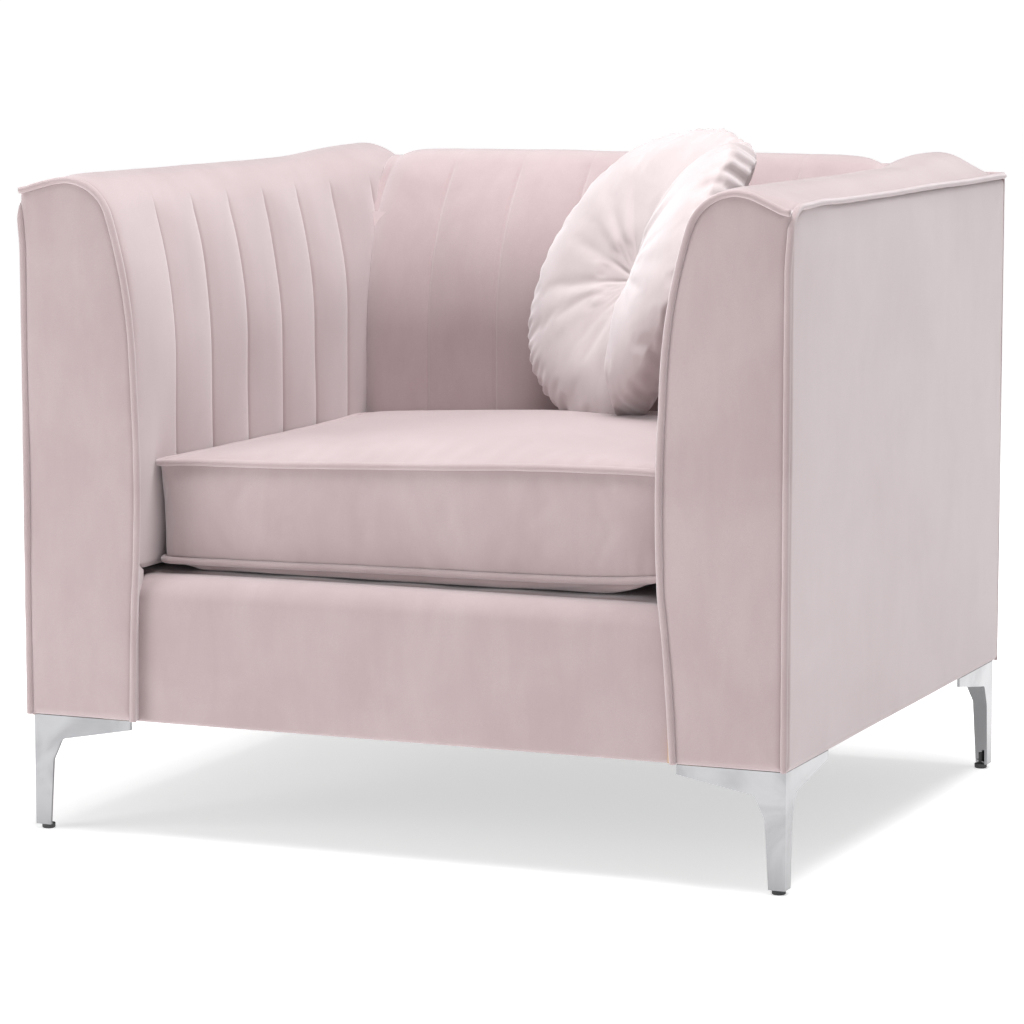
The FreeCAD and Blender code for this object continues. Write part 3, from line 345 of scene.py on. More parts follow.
def corners_of(piece: bpy.types.Object) -> np.ndarray:
    """The places of a piece's corners, one in each row."""
    flat = np.zeros(len(piece.data.vertices) * 3, np.float32)
    piece.data.vertices.foreach_get("co", flat)
    return flat.reshape(-1, 3).astype(float)


def move_corners(piece: bpy.types.Object, places: np.ndarray) -> None:
    """Put a piece's corners at new places."""
    piece.data.vertices.foreach_set("co", places.astype(np.float32).ravel())
    piece.data.update()


def shell(name: str, points: np.ndarray, faces: list[Sequence[int]]) -> bpy.types.Object:
    """A closed, smooth mesh object whose faces point outwards.

    Args:
        name: the piece's name.
        points: corners, in the chair's frame.
        faces: corner numbers of each face.

    Returns:
        The new object.
    """
    mesh = bpy.data.meshes.new(name)
    mesh.from_pydata(points.reshape(-1, 3).tolist(), [], [list(face) for face in faces])
    cleaned(mesh)
    piece = bpy.data.objects.new(name, mesh)
    bpy.context.scene.collection.objects.link(piece)
    return piece


def swept(name: str, loops: np.ndarray) -> bpy.types.Object:
    """A solid drawn through closed outlines, with flat ends.

    Args:
        name: the piece's name.
        loops: one closed outline of points for each station.

    Returns:
        The new object.
    """
    stations, around = loops.shape[:2]
    index = np.arange(stations * around).reshape(stations, around)
    turned = np.roll(index, -1, axis=1)
    quads = np.stack([index[:-1], turned[:-1], turned[1:], index[1:]], axis=-1).reshape(-1, 4).tolist()
    return shell(name, loops, [*quads, index[0][::-1].tolist(), index[-1].tolist()])


def grid_faces(rows: int, columns: int) -> tuple[np.ndarray, np.ndarray]:
    """Corner numbers of a grid of points.

    Args:
        rows: number of rows.
        columns: points in each row.

    Returns:
        The four corners of each face, and the line of corners round the rim.
    """
    index = np.arange(rows * columns).reshape(rows, columns)
    face = np.stack([index[:-1, :-1], index[:-1, 1:], index[1:, 1:], index[1:, :-1]], axis=-1)
    face = face.reshape(-1, 4)
    return face, np.concatenate([index[0, :-1], index[:-1, -1], index[-1, :0:-1], index[:0:-1, 0]])


def plate(name: str, front: np.ndarray, back: np.ndarray) -> bpy.types.Object:
    """A solid between two matching grids of points.

    Args:
        name: the piece's name.
        front: rows and columns of the visible face.
        back: the hidden face, of the same shape.

    Returns:
        The new object.
    """
    face, rim = grid_faces(*front.shape[:2])
    size = front.shape[0] * front.shape[1]
    other = face[:, ::-1] + size
    after = np.roll(rim, -1)
    wall = np.stack([rim, rim + size, after + size, after], axis=-1)
    points = np.concatenate([front.reshape(-1, 3), back.reshape(-1, 3)])
    return shell(name, points, [*face.tolist(), *other.tolist(), *wall.tolist()])


def piping(name: str, path: np.ndarray, radius: float, closed: bool = False,
           seed: int = 1) -> bpy.types.Object:
    """Covered cord sewn into a seam.

    Args:
        name: the piece's name.
        path: points along its middle.
        radius: of the covered cord.
        closed: whether it runs round to its own start.
        seed: picks where it is a touch thicker or thinner.

    Returns:
        The new object, as a mesh.
    """
    curve = bpy.data.curves.new(name, "CURVE")
    curve.dimensions = "3D"
    curve.bevel_depth = radius
    curve.bevel_resolution = 3
    curve.use_fill_caps = True
    line = curve.splines.new("POLY")
    line.points.add(len(path) - 1)
    line.use_cyclic_u = closed
    thick = 1 + ripple(path, seed, 0.05, 0.035)
    for point, place, width in zip(line.points, path, thick):
        point.co = (*place, 1)
        point.radius = width
    piece = bpy.data.objects.new(name, curve)
    bpy.context.scene.collection.objects.link(piece)
    only(piece)
    bpy.ops.object.convert(target="MESH")
    piece = bpy.context.view_layer.objects.active
    piece.name = name
    cleaned(piece.data)
    return piece


def tight_side(flat: np.ndarray, axis: int, gap: np.ndarray, seed: int) -> tuple[np.ndarray, np.ndarray]:
    """Raise a flat side into cloth drawn tight over thin padding.

    Args:
        flat: the side's places.
        axis: the axis that it faces along.
        gap: each place's distance from the side's edge.
        seed: picks its unevenness.

    Returns:
        The visible face, and the hidden one behind it.
    """
    thick, turned, crown, broad, behind = 0.006, 0.007, 0.0015, 0.12, 0.0005
    edge = rounded(gap, turned)
    face, back = flat.copy(), flat.copy()
    face[..., axis] += thick * edge + crown * domed(gap, broad) + ripple(flat, seed, 0.30, 0.0006) * edge
    back[..., axis] -= behind
    return face, back


# ---------------------------------------------------------------- materials

class Shader:
    """A node tree with short calls to add nodes and join their sockets."""

    def __init__(self, tree: bpy.types.NodeTree) -> None:
        """Start on an empty tree."""
        self.tree = tree
        self.tree.nodes.clear()

    def add(self, kind: str, settings: dict | None = None, **inputs: object) -> bpy.types.Node:
        """Add a node.

        Args:
            kind: the node's type, without its ShaderNode prefix where it has one.
            settings: attributes of the node.
            inputs: socket names, with _ for a space, and a value or a socket to join to each.

        Returns:
            The new node.
        """
        found = self.tree.nodes.new(kind if kind.startswith("Node") else "ShaderNode" + kind)
        for key, value in (settings or {}).items():
            setattr(found, key, value)
        for key, value in inputs.items():
            self.feed(found.inputs[key.replace("_", " ")], value)
        return found

    def feed(self, socket: bpy.types.NodeSocket, value: object) -> None:
        """Join a socket to another, or set its value."""
        if isinstance(value, bpy.types.NodeSocket):
            self.tree.links.new(value, socket)
        else:
            socket.default_value = value

    def maths(self, operation: str, *values: object) -> bpy.types.NodeSocket:
        """The result of a sum.

        Args:
            operation: the sum's kind.
            values: two or three numbers or sockets.

        Returns:
            The result's socket.
        """
        found = self.add("Math", {"operation": operation})
        for socket, value in zip(found.inputs, values):
            self.feed(socket, value)
        return found.outputs[0]

    def shifted(self, start: object, value: object, share: float) -> bpy.types.NodeSocket:
        """A start plus a share of a value."""
        return self.maths("ADD", start, self.maths("MULTIPLY", value, share))

    def noise(self, place: object, scale: object, detail: float, **inputs: float) -> bpy.types.NodeSocket:
        """The height of a noise pattern."""
        return self.add("TexNoise", Vector=place, Scale=scale, Detail=detail, **inputs).outputs["Fac"]

    def blend(self, share: object, first: object, second: object, way: str = "MIX") -> bpy.types.NodeSocket:
        """A colour mixed from two.

        Args:
            share: how much of the second.
            first: colour or socket.
            second: colour or socket.
            way: the mix's blend type.

        Returns:
            The colour's socket.
        """
        found = self.tree.nodes.new("ShaderNodeMix")
        found.data_type = "RGBA"
        found.blend_type = way
        self.feed(found.inputs[0], share)
        for socket, value in ((found.inputs[6], first), (found.inputs[7], second)):
            self.feed(socket, value if isinstance(value, bpy.types.NodeSocket) else (*value, 1.0))
        return found.outputs[2]

    def ramp(self, value: object, low: float, high: float) -> bpy.types.NodeSocket:
        """A value stretched so that low becomes 0 and high becomes 1."""
        return self.add("MapRange", {"interpolation_type": "SMOOTHSTEP"}, Value=value, From_Min=low,
                        From_Max=high).outputs[0]

    def place(self, scale: Sequence[float] = (1, 1, 1)) -> bpy.types.NodeSocket:
        """Object coordinates, stretched along each axis."""
        where = self.add("TexCoord").outputs["Object"]
        return self.add("Mapping", {"vector_type": "POINT"}, Vector=where, Scale=scale).outputs[0]


def group(name: str, inputs: dict[str, float], outputs: Sequence[str],
          fill: Callable[[Shader, dict, dict], None]) -> bpy.types.NodeTree:
    """A shader node group, made once, that reads a place and some numbers.

    Args:
        name: the group's name.
        inputs: the numbers' names and starting values.
        outputs: names of the values that it puts out.
        fill: adds the nodes, from the input sockets to the output sockets.

    Returns:
        The group's tree.
    """
    if name in bpy.data.node_groups:
        return bpy.data.node_groups[name]
    tree = bpy.data.node_groups.new(name, "ShaderNodeTree")
    tree.interface.new_socket("Place", in_out="INPUT", socket_type="NodeSocketVector")
    for key, value in inputs.items():
        tree.interface.new_socket(key, in_out="INPUT", socket_type="NodeSocketFloat").default_value = value
    for key in outputs:
        tree.interface.new_socket(key, in_out="OUTPUT", socket_type="NodeSocketFloat")
    work = Shader(tree)
    entry = work.add("NodeGroupInput")
    leave = work.add("NodeGroupOutput")
    fill(work, {key: entry.outputs[key] for key in ("Place", *inputs)},
         {key: leave.inputs[key] for key in outputs})
    return tree


def nap_group() -> bpy.types.NodeTree:
    """Brushed pile: broad patches where it lies over, streaks, and single tufts."""

    def fill(work: Shader, entry: dict, leave: dict) -> None:
        """Add the pile's nodes.

        Args:
            work: the group's tree.
            entry: its input sockets.
            leave: its output sockets.
        """
        patch = work.noise(entry["Place"], entry["Patches"], 3.0, Roughness=0.5, Distortion=0.6)
        long = work.add("Mapping", Vector=entry["Place"], Scale=(1.0, 1.0, 0.28)).outputs[0]
        streak = work.noise(long, entry["Streaks"], 4.0, Roughness=0.6, Distortion=0.3)
        tuft = work.noise(entry["Place"], entry["Tufts"], 2.0, Roughness=0.7)
        broad = work.maths("MULTIPLY", work.ramp(patch, 0.32, 0.68), 0.65)
        work.feed(leave["Lie"], work.shifted(broad, work.ramp(streak, 0.3, 0.7), 0.35))
        work.feed(leave["Tuft"], tuft)
        work.feed(leave["Height"], work.shifted(work.maths("MULTIPLY", tuft, 0.7), streak, 0.3))

    return group("Brushed nap", {"Patches": 7.0, "Streaks": 40.0, "Tufts": 1400.0},
                 ("Lie", "Tuft", "Height"), fill)


def grain_group() -> bpy.types.NodeTree:
    """Sawn timber: rings drawn out along the board, with pores."""

    def fill(work: Shader, entry: dict, leave: dict) -> None:
        """Add the timber's nodes.

        Args:
            work: the group's tree.
            entry: its input sockets.
            leave: its output sockets.
        """
        warp = work.noise(entry["Place"], 3.0, 2.0)
        rings = work.add("TexWave", {"wave_type": "RINGS", "rings_direction": "X"}, Vector=entry["Place"],
                         Scale=entry["Rings"], Distortion=7.0, Detail=3.0, Detail_Scale=1.2,
                         Phase_Offset=warp).outputs["Fac"]
        pores = work.noise(entry["Place"], entry["Pores"], 4.0, Roughness=0.7)
        work.feed(leave["Ring"], rings)
        work.feed(leave["Pore"], pores)
        work.feed(leave["Height"], work.shifted(pores, rings, 0.4))

    return group("Sawn grain", {"Rings": 6.0, "Pores": 160.0}, ("Ring", "Pore", "Height"), fill)


def weave_group() -> bpy.types.NodeTree:
    """Plain weave: threads over and under, with slubs."""

    def fill(work: Shader, entry: dict, leave: dict) -> None:
        """Add the threads' nodes.

        Args:
            work: the group's tree.
            entry: its input sockets.
            leave: its output sockets.
        """
        bands = [work.add("TexWave", {"wave_type": "BANDS", "bands_direction": way}, Vector=entry["Place"],
                          Scale=entry["Threads"], Distortion=0.4).outputs["Fac"] for way in "XY"]
        slub = work.noise(entry["Place"], 90.0, 3.0)
        thread = work.maths("MAXIMUM", *bands)
        work.feed(leave["Thread"], thread)
        work.feed(leave["Slub"], slub)
        work.feed(leave["Height"], work.shifted(thread, slub, 0.5))

    return group("Plain weave", {"Threads": 300.0}, ("Thread", "Slub", "Height"), fill)


def handling_group() -> bpy.types.NodeTree:
    """Marks of making and handling: cloudy smears and fine scratches."""

    def fill(work: Shader, entry: dict, leave: dict) -> None:
        """Add the marks' nodes.

        Args:
            work: the group's tree.
            entry: its input sockets.
            leave: its output sockets.
        """
        smear = work.noise(entry["Place"], entry["Smears"], 4.0, Distortion=0.8)
        work.feed(leave["Smear"], work.ramp(smear, 0.35, 0.65))
        work.feed(leave["Scratch"], work.noise(entry["Place"], entry["Scratches"], 3.0, Roughness=0.65))

    return group("Handling marks", {"Smears": 14.0, "Scratches": 500.0}, ("Smear", "Scratch"), fill)


@dataclass(frozen=True)
class Finish:
    """A surface finish that is built as one material and used by many pieces."""

    name: str
    slot: str

    def material(self) -> bpy.types.Material:
        """The finish's material, built on first use."""
        if self.name in bpy.data.materials:
            return bpy.data.materials[self.name]
        made = bpy.data.materials.new(self.name)
        made.use_nodes = True
        work = Shader(made.node_tree)
        shader = work.add("BsdfPrincipled")
        work.feed(work.add("OutputMaterial").inputs["Surface"], shader.outputs[0])
        self.paint(work, shader)
        return made

    def paint(self, work: Shader, shader: bpy.types.Node) -> None:
        """Set the shader's sockets.

        Args:
            work: the material's tree.
            shader: its Principled node.
        """
        raise NotImplementedError

    def bump(self, work: Shader, shader: bpy.types.Node, height: bpy.types.NodeSocket, depth: float,
             strength: float = 1.0) -> None:
        """Raise the surface by a pattern.

        Args:
            work: the material's tree.
            shader: its Principled node.
            height: the pattern's socket.
            depth: how deep the pattern is, in metres.
            strength: share of the bump that shows.
        """
        raised = work.add("Bump", Height=height, Distance=depth, Strength=strength)
        work.feed(shader.inputs["Normal"], raised.outputs[0])


@dataclass(frozen=True)
class Velvet(Finish):
    """Short-pile velvet: a deep colour seen straight on and a pale bloom at a slant."""

    deep: Colour
    pale: Colour
    bloom: float = 0.7
    bloom_colour: Colour = (1.0, 0.98, 1.0)
    bloom_rough: float = 0.6
    gloss: float = 0.18
    patches: float = 7.0
    pile: float = 0.0006

    def paint(self, work: Shader, shader: bpy.types.Node) -> None:
        """Mix the pile's colours and raise its tufts.

        Args:
            work: the material's tree.
            shader: its Principled node.
        """
        nap = work.add("Group", {"node_tree": nap_group()}, Place=work.place(), Patches=self.patches)
        colour = work.blend(nap.outputs["Lie"], self.deep, self.pale)
        # painted shade: where the tufts are low, between them, the colour is darkened towards 0.82 of the deep
        # colour
        dark = tuple(value * 0.82 for value in self.deep)
        between = work.maths("MULTIPLY", work.ramp(nap.outputs["Tuft"], 0.62, 0.4), 0.3)
        work.feed(shader.inputs["Base Color"], work.blend(between, colour, dark))
        work.feed(shader.inputs["Roughness"], work.shifted(0.78, nap.outputs["Lie"], 0.12))
        shader.inputs["Specular IOR Level"].default_value = self.gloss
        shader.inputs["Sheen Weight"].default_value = self.bloom
        shader.inputs["Sheen Roughness"].default_value = self.bloom_rough
        shader.inputs["Sheen Tint"].default_value = (*self.bloom_colour, 1.0)
        self.bump(work, shader, nap.outputs["Height"], self.pile, 0.35)


@dataclass(frozen=True)
class Timber(Finish):
    """Planed hardwood or pressed board."""

    light: Colour
    dark: Colour
    along: tuple[float, float, float] = (1.0, 1.0, 0.12)
    rings: float = 6.0

    def paint(self, work: Shader, shader: bpy.types.Node) -> None:
        """Draw rings and pores.

        Args:
            work: the material's tree.
            shader: its Principled node.
        """
        grain = work.add("Group", {"node_tree": grain_group()}, Place=work.place(self.along), Rings=self.rings)
        colour = work.blend(grain.outputs["Ring"], self.light, self.dark)
        shade = work.ramp(grain.outputs["Pore"], 0.55, 0.75)
        dark = tuple(value * 0.6 for value in self.dark)
        work.feed(shader.inputs["Base Color"], work.blend(work.maths("MULTIPLY", shade, 0.5), colour, dark))
        work.feed(shader.inputs["Roughness"], work.shifted(0.6, shade, 0.2))
        self.bump(work, shader, grain.outputs["Height"], 0.0006, 0.5)


@dataclass(frozen=True)
class Metal(Finish):
    """Plated or drawn steel."""

    bright: Colour
    dull: Colour
    smooth: float
    rough: float
    smears: float = 14.0

    def paint(self, work: Shader, shader: bpy.types.Node) -> None:
        """Cloud the polish a little.

        Args:
            work: the material's tree.
            shader: its Principled node.
        """
        marks = work.add("Group", {"node_tree": handling_group()}, Place=work.place(), Smears=self.smears)
        work.feed(shader.inputs["Base Color"], work.blend(marks.outputs["Smear"], self.bright, self.dull))
        shader.inputs["Metallic"].default_value = 1.0
        gloss = work.maths("MULTIPLY_ADD", marks.outputs["Smear"], self.rough - self.smooth, self.smooth)
        work.feed(shader.inputs["Roughness"], gloss)
        self.bump(work, shader, marks.outputs["Scratch"], 0.00008, 0.12)


@dataclass(frozen=True)
class Plastic(Finish):
    """Moulded plastic with a faint orange-peel skin."""

    colour: Colour
    worn: Colour
    rough: float = 0.5

    def paint(self, work: Shader, shader: bpy.types.Node) -> None:
        """Scuff the moulding.

        Args:
            work: the material's tree.
            shader: its Principled node.
        """
        marks = work.add("Group", {"node_tree": handling_group()}, Place=work.place(), Smears=60.0,
                         Scratches=900.0)
        scuffed = work.maths("MULTIPLY", marks.outputs["Smear"], 0.6)
        work.feed(shader.inputs["Base Color"], work.blend(scuffed, self.colour, self.worn))
        work.feed(shader.inputs["Roughness"], work.shifted(self.rough, marks.outputs["Scratch"], 0.15))
        self.bump(work, shader, marks.outputs["Scratch"], 0.0002, 0.4)


@dataclass(frozen=True)
class Cloth(Finish):
    """Woven lining, webbing or twine."""

    thread: Colour
    gap: Colour
    threads: float = 300.0
    rough: float = 0.85

    def paint(self, work: Shader, shader: bpy.types.Node) -> None:
        """Weave the threads.

        Args:
            work: the material's tree.
            shader: its Principled node.
        """
        weave = work.add("Group", {"node_tree": weave_group()}, Place=work.place(), Threads=self.threads)
        colour = work.blend(weave.outputs["Thread"], self.gap, self.thread)
        lighter = tuple(min(1.0, value * 1.25 + 0.01) for value in self.thread)
        fluff = work.maths("MULTIPLY", weave.outputs["Slub"], 0.4)
        work.feed(shader.inputs["Base Color"], work.blend(fluff, colour, lighter))
        work.feed(shader.inputs["Roughness"], work.shifted(self.rough, weave.outputs["Thread"], -0.12))
        shader.inputs["Sheen Weight"].default_value = 0.15
        self.bump(work, shader, weave.outputs["Height"], 0.0005, 0.6)


BLUSH = Velvet("Blush velvet", "velvet", (0.385, 0.290, 0.294), (0.440, 0.345, 0.350))
# painted light: the pillow's velvet is a paler copy of the chair's, standing in for the light that falls on the
# pillow
PILLOW_VELVET_PAINTED_LIGHT = Velvet("Pale blush velvet", "pillow_velvet", (0.47, 0.397, 0.400), (0.54, 0.466, 0.469),
                      patches=16.0)
HARDWOOD = Timber("Planed hardwood", "hardwood", (0.62, 0.42, 0.24), (0.42, 0.26, 0.13))
FIBREBOARD = Timber("Pressed fibreboard", "fibreboard", (0.40, 0.28, 0.17), (0.30, 0.20, 0.12), (1, 1, 1),
                    40.0)
CHROME = Metal("Polished chrome", "chrome", (0.35, 0.35, 0.36), (0.29, 0.29, 0.30), 0.12, 0.22)
SPRING_STEEL = Metal("Oiled spring wire", "spring_steel", (0.30, 0.30, 0.31), (0.18, 0.17, 0.16), 0.3, 0.5,
                     40.0)
ZINC = Metal("Zinc plate", "screw_steel", (0.60, 0.60, 0.58), (0.45, 0.45, 0.42), 0.25, 0.42, 90.0)
GLIDE = Plastic("Glide plastic", "glide_plastic", (0.035, 0.035, 0.038), (0.09, 0.09, 0.09))
ZIP = Plastic("Zip plastic", "zip_plastic", (0.46, 0.25, 0.24), (0.55, 0.36, 0.35), 0.35)
ZIP_CLOTH = Cloth("Zip tape", "zip_plastic", (0.50, 0.29, 0.28), (0.25, 0.12, 0.12), 900.0)
WEBBING = Cloth("Elastic webbing", "webbing", (0.05, 0.05, 0.055), (0.012, 0.012, 0.014), 420.0)
LINING = Cloth("Black lining", "lining", (0.022, 0.022, 0.023), (0.008, 0.008, 0.008), 700.0, 0.9)
TWINE = Cloth("Waxed twine", "twine", (0.70, 0.58, 0.44), (0.42, 0.32, 0.22), 1500.0)


def finish_piece(piece: bpy.types.Object, body: Body, finish: Finish, *nodes: str) -> bpy.types.Object:
    """Give a piece its finish and its place in the frame.

    Args:
        piece: the mesh object.
        body: what it moves with.
        finish: its finish.
        nodes: the CAD nodes that it stands for.

    Returns:
        The piece.
    """
    piece.data.materials.clear()
    piece.data.materials.append(finish.material())
    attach(piece, body.value)
    if nodes:
        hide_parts(*nodes)
    log.info("%-26s %7d faces on %s", piece.name, len(piece.data.polygons), body.value)
    return piece


def finish_pad(piece: bpy.types.Object, body: Body, finish: Finish, fill: float, *nodes: str) -> None:
    """Finish a padded piece.

    Args:
        piece: the mesh object.
        body: what it moves with.
        finish: its finish.
        fill: how full it is, from 0 to 1; not used.
        nodes: the CAD nodes that it stands for.
    """
    finish_piece(piece, body, finish, *nodes)


# ---------------------------------------------------------------- arms

@dataclass
class Arm:
    """One arm: its quilted inside, flat front and outside, and the piping between them. Sizes in metres."""

    side: Side
    front: float = FRONT
    rear: float = REAR
    foot: float = 0.324
    base: float = 0.140
    outer: float = 0.4735
    panel: float = 0.006
    liner: float = 0.380
    rail_under: float = 0.712
    bow: float = 0.0075
    tuck: float = 0.0140
    channels: Channels = Channels(pitch=0.0967, first=-0.306)

    def __post_init__(self) -> None:
        """Read the places that the frame gives."""
        low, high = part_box(f"inside_arm_cover_{self.side.word}")
        self.inner = min(abs(low.x), abs(high.x))
        self.flare, self.dip = {Side.LEFT: (0.002, 0.0), Side.RIGHT: (0.011, 0.007)}[self.side]
        ends = {"edge_at": self.outer, "edge": TOP_EDGE, "foot": self.foot}
        self.roll = Roll(face=self.inner + 0.001, crest_at=0.416, crest=high.z, crest_radius=0.058,
                         sweep_radius=0.612, **ends)
        self.rear_roll = Roll(face=self.inner, crest_at=0.403, crest=high.z + 0.011, crest_radius=0.061,
                              sweep_radius=0.300, **ends)

    def build(self) -> None:
        """Make every piece of the arm."""
        self.inside()
        self.front_panel()
        self.outside_panel()
        self.front_piping()
        self.top_piping()

    def edge_height(self, along: np.ndarray | float) -> np.ndarray | float:
        """Height of the outer top edge, which dips to the front corner."""
        dip = self.dip * (1 - eased((along - self.front) / 0.045))
        return self.roll.edge - dip + 0.003 * np.exp(-((along + 0.34) / 0.06) ** 2)

    def turned(self, points: np.ndarray) -> np.ndarray:
        """Points of the right arm, moved to this side."""
        return points * np.array([self.side.value, 1.0, 1.0])

    def inside(self) -> None:
        """The channel-quilted inside, with the pad that fills it."""
        last_seam, turned_at, turned_over = 0.30, 0.13, 0.20
        stations = spread(self.front, self.rear, STATION, self.channels.seams(self.front, last_seam))
        near, far = self.roll.outline(), self.rear_roll.outline()
        share = eased((stations - turned_at) / turned_over)[:, None, None]
        section = near[None] * (1 - share) + far[None] * share
        hip = self.hip(stations)[:, None]
        above = np.maximum(section[..., 1] - self.roll.edge, 0)
        section[..., 1] = np.where(above > 0, self.roll.edge + above * hip, section[..., 1])
        along = np.broadcast_to(stations[:, None], section.shape[:2])
        outward = eased((section[..., 0] - 0.43) / (self.outer - 0.43)) * (section[..., 1] > 0.75)
        section[..., 1] += (self.edge_height(along) - self.roll.edge) * outward
        droop = 0.0055 * np.exp(-(along - self.front) / 0.012)
        section[..., 1] -= droop * eased((section[..., 1] - 0.70) / 0.06)
        grid = np.stack([section[..., 0], along, section[..., 1]], axis=-1)
        facing = normals_of(grid, (-1, 0, 0.2))
        quilted = np.maximum(along, self.channels.first - 0.0001)
        lift = self.channels.lift(quilted) - self.channels.depth * 0.45
        flat = self.channels.first - along
        lift = np.where(flat > 0, self.channels.depth * (0.55 - 0.9 * np.exp(-flat / 0.02)), lift)
        lift -= 0.004 * np.exp(-(along - self.front) / 0.006)
        fade_at, fade_over = 0.728, 0.034
        lift *= 1 - eased((along - 0.26) / 0.06)
        lift *= 1 - eased((section[..., 1] - fade_at) / fade_over)
        reach = np.linspace(0, 1, section.shape[1])[None]
        lift *= 1 - eased((reach - 0.86) / 0.14)
        lift += ripple(grid, 11 + self.side.value, 0.16, 0.0008) * np.sin(math.pi * reach)
        grid = grid + facing * lift[..., None]
        hidden = np.array([(self.outer, self.rail_under), (self.liner, self.rail_under),
                           (self.liner, self.foot)])
        hidden = along_stations(stations, hidden)[..., [1, 0, 2]]
        word = self.side.word
        piece = swept(f"arm_inside_{word}", self.turned(np.concatenate([grid, hidden], axis=1)))
        finish_pad(piece, Body.CHAIR, BLUSH, 0.85, f"inside_arm_cover_{word}", f"arm_pad_{word}")

    def hip(self, stations: np.ndarray) -> np.ndarray:
        """How much of the crest's height is left towards the rear, where it drops like the back does.

        Args:
            stations: places from front to rear.

        Returns:
            The share left at each place.
        """
        start, radius, rise = 0.370, 0.055, 0.799 - TOP_EDGE
        past = np.clip(stations - start, 0, radius * 0.999)
        return np.clip((rise + np.sqrt(radius ** 2 - past ** 2) - radius) / rise, 0.02, 1)

    def outline(self, count: int) -> tuple[np.ndarray, np.ndarray, np.ndarray, np.ndarray]:
        """The four edges of the front panel.

        Args:
            count: points along each upright edge; half as many go along the top and bottom.

        Returns:
            Inner edge going up, outer edge going up, bottom and top from inner to outer, as (across, height).
        """
        shape = self.roll.outline()
        crest = int(np.argmax(shape[:, 1]))
        foot, bow_at, bow_half = self.base + 0.002, 0.43, 0.15
        rise = np.concatenate([[[self.roll.face, foot]], shape[:crest + 1]])
        inner = resampled(rise, 200)
        height = inner[:, 1]
        inner[:, 1] -= 0.006 * eased((height - 0.60) / 0.16)
        inner[:, 0] += 0.001 - self.bow * np.exp(-((height - bow_at) / bow_half) ** 2)
        inner[:, 0] += self.flare * self.below(height)
        inner = resampled(inner, count, crowded(count))
        outer_line = np.linspace(foot, self.edge_height(self.front) + 0.001, 60)
        outer = np.stack([self.outer + 0.002 + 0.004 * eased((outer_line - 0.69) / 0.07), outer_line], axis=1)
        outer = resampled(outer, count, crowded(count))
        slope = shape[crest:] - np.array([0, 0.006])
        fall = eased((slope[:, 0] - 0.425) / (self.outer - 0.425))
        slope[:, 1] += (outer[-1, 1] - slope[-1, 1]) * fall
        places = crowded(count // 2)
        top = resampled(np.concatenate([inner[-1:], slope[1:-1], outer[-1:]]), count // 2, places)
        bottom = resampled(np.stack([inner[0], outer[0]]), count // 2, places)
        return inner, outer, bottom, top

    @staticmethod
    def below(height: np.ndarray) -> np.ndarray:
        """How far the inner edge has flared at each height: 1 at the foot, 0 above the front rail."""
        return np.clip((0.33 - height) / 0.19, 0, 1) ** 0.8

    def front_panel(self) -> None:
        """The flat, lightly padded front."""
        inner, outer, bottom, top = self.outline(120)
        flat = coons(inner, outer, bottom, top)
        rim = np.concatenate([inner, outer, bottom, top])
        gap = np.sqrt(((flat[:, :, None] - rim[None, None]) ** 2).sum(-1)).min(-1)
        grid = np.stack([flat[..., 0], np.full(flat.shape[:2], self.front), flat[..., 1]], axis=-1)
        thick, crown = 0.0045, 0.0035
        edge = rounded(gap, 0.010)
        uneven = ripple(grid, 31 + self.side.value, 0.22, 0.0007)
        grid[..., 1] -= thick * edge + crown * domed(gap, 0.065) + uneven * edge
        back = grid.copy()
        back[..., 1] = self.front + 0.0005
        turned_in = np.clip(1 - (back[..., 0] - self.inner) / 0.05, 0, 1) ** 2
        back[..., 0] -= self.flare * self.below(back[..., 2]) * turned_in
        turn = back[:, :1]
        tucked = turn.copy()
        tucked[..., 1] += 0.0005 + self.tuck * eased((0.330 - tucked[..., 2]) / 0.004)
        grid, back = np.concatenate([turn, grid], axis=1), np.concatenate([tucked, back], axis=1)
        word = self.side.word
        piece = plate(f"arm_front_{word}", self.turned(grid), self.turned(back))
        finish_pad(piece, Body.CHAIR, BLUSH, 0.9, f"arm_front_panel_{word}")

    def outside_panel(self) -> None:
        """The outside, drawn tight from the base to the top piping."""
        along = self.front + (self.rear + self.panel - self.front) * crowded(110)
        place_along, share = np.meshgrid(along, crowded(90), indexing="ij")
        top = self.edge_height(place_along) - 0.003 - 0.010 * (1 - eased((place_along - self.front) / 0.02))
        place_up = self.base + (top - self.base) * share
        gap = np.minimum.reduce([place_along - along[0], along[-1] - place_along, place_up - self.base,
                                 top - place_up])
        flat = np.stack([np.full_like(gap, self.outer), place_along, place_up], axis=-1)
        face, back = tight_side(flat, 0, gap, 51 + self.side.value)
        word = self.side.word
        piece = plate(f"arm_outside_{word}", self.turned(face), self.turned(back))
        finish_pad(piece, Body.CHAIR, BLUSH, 0.9, f"outside_arm_panel_{word}")

    def front_piping(self) -> None:
        """Piping up the inner edge of the front and over the crest, down to the outer corner."""
        inner, _, _, top = self.outline(160)
        line = resampled(np.concatenate([inner, top[1:]]), 260)
        path = np.stack([line[:, 0], np.full(len(line), self.front - 0.0045), line[:, 1]], axis=1)
        word = self.side.word
        piece = piping(f"arm_front_piping_{word}", self.turned(path), CORD, seed=3 + self.side.value)
        finish_piece(piece, Body.CHAIR, BLUSH, f"arm_front_welt_{word}")

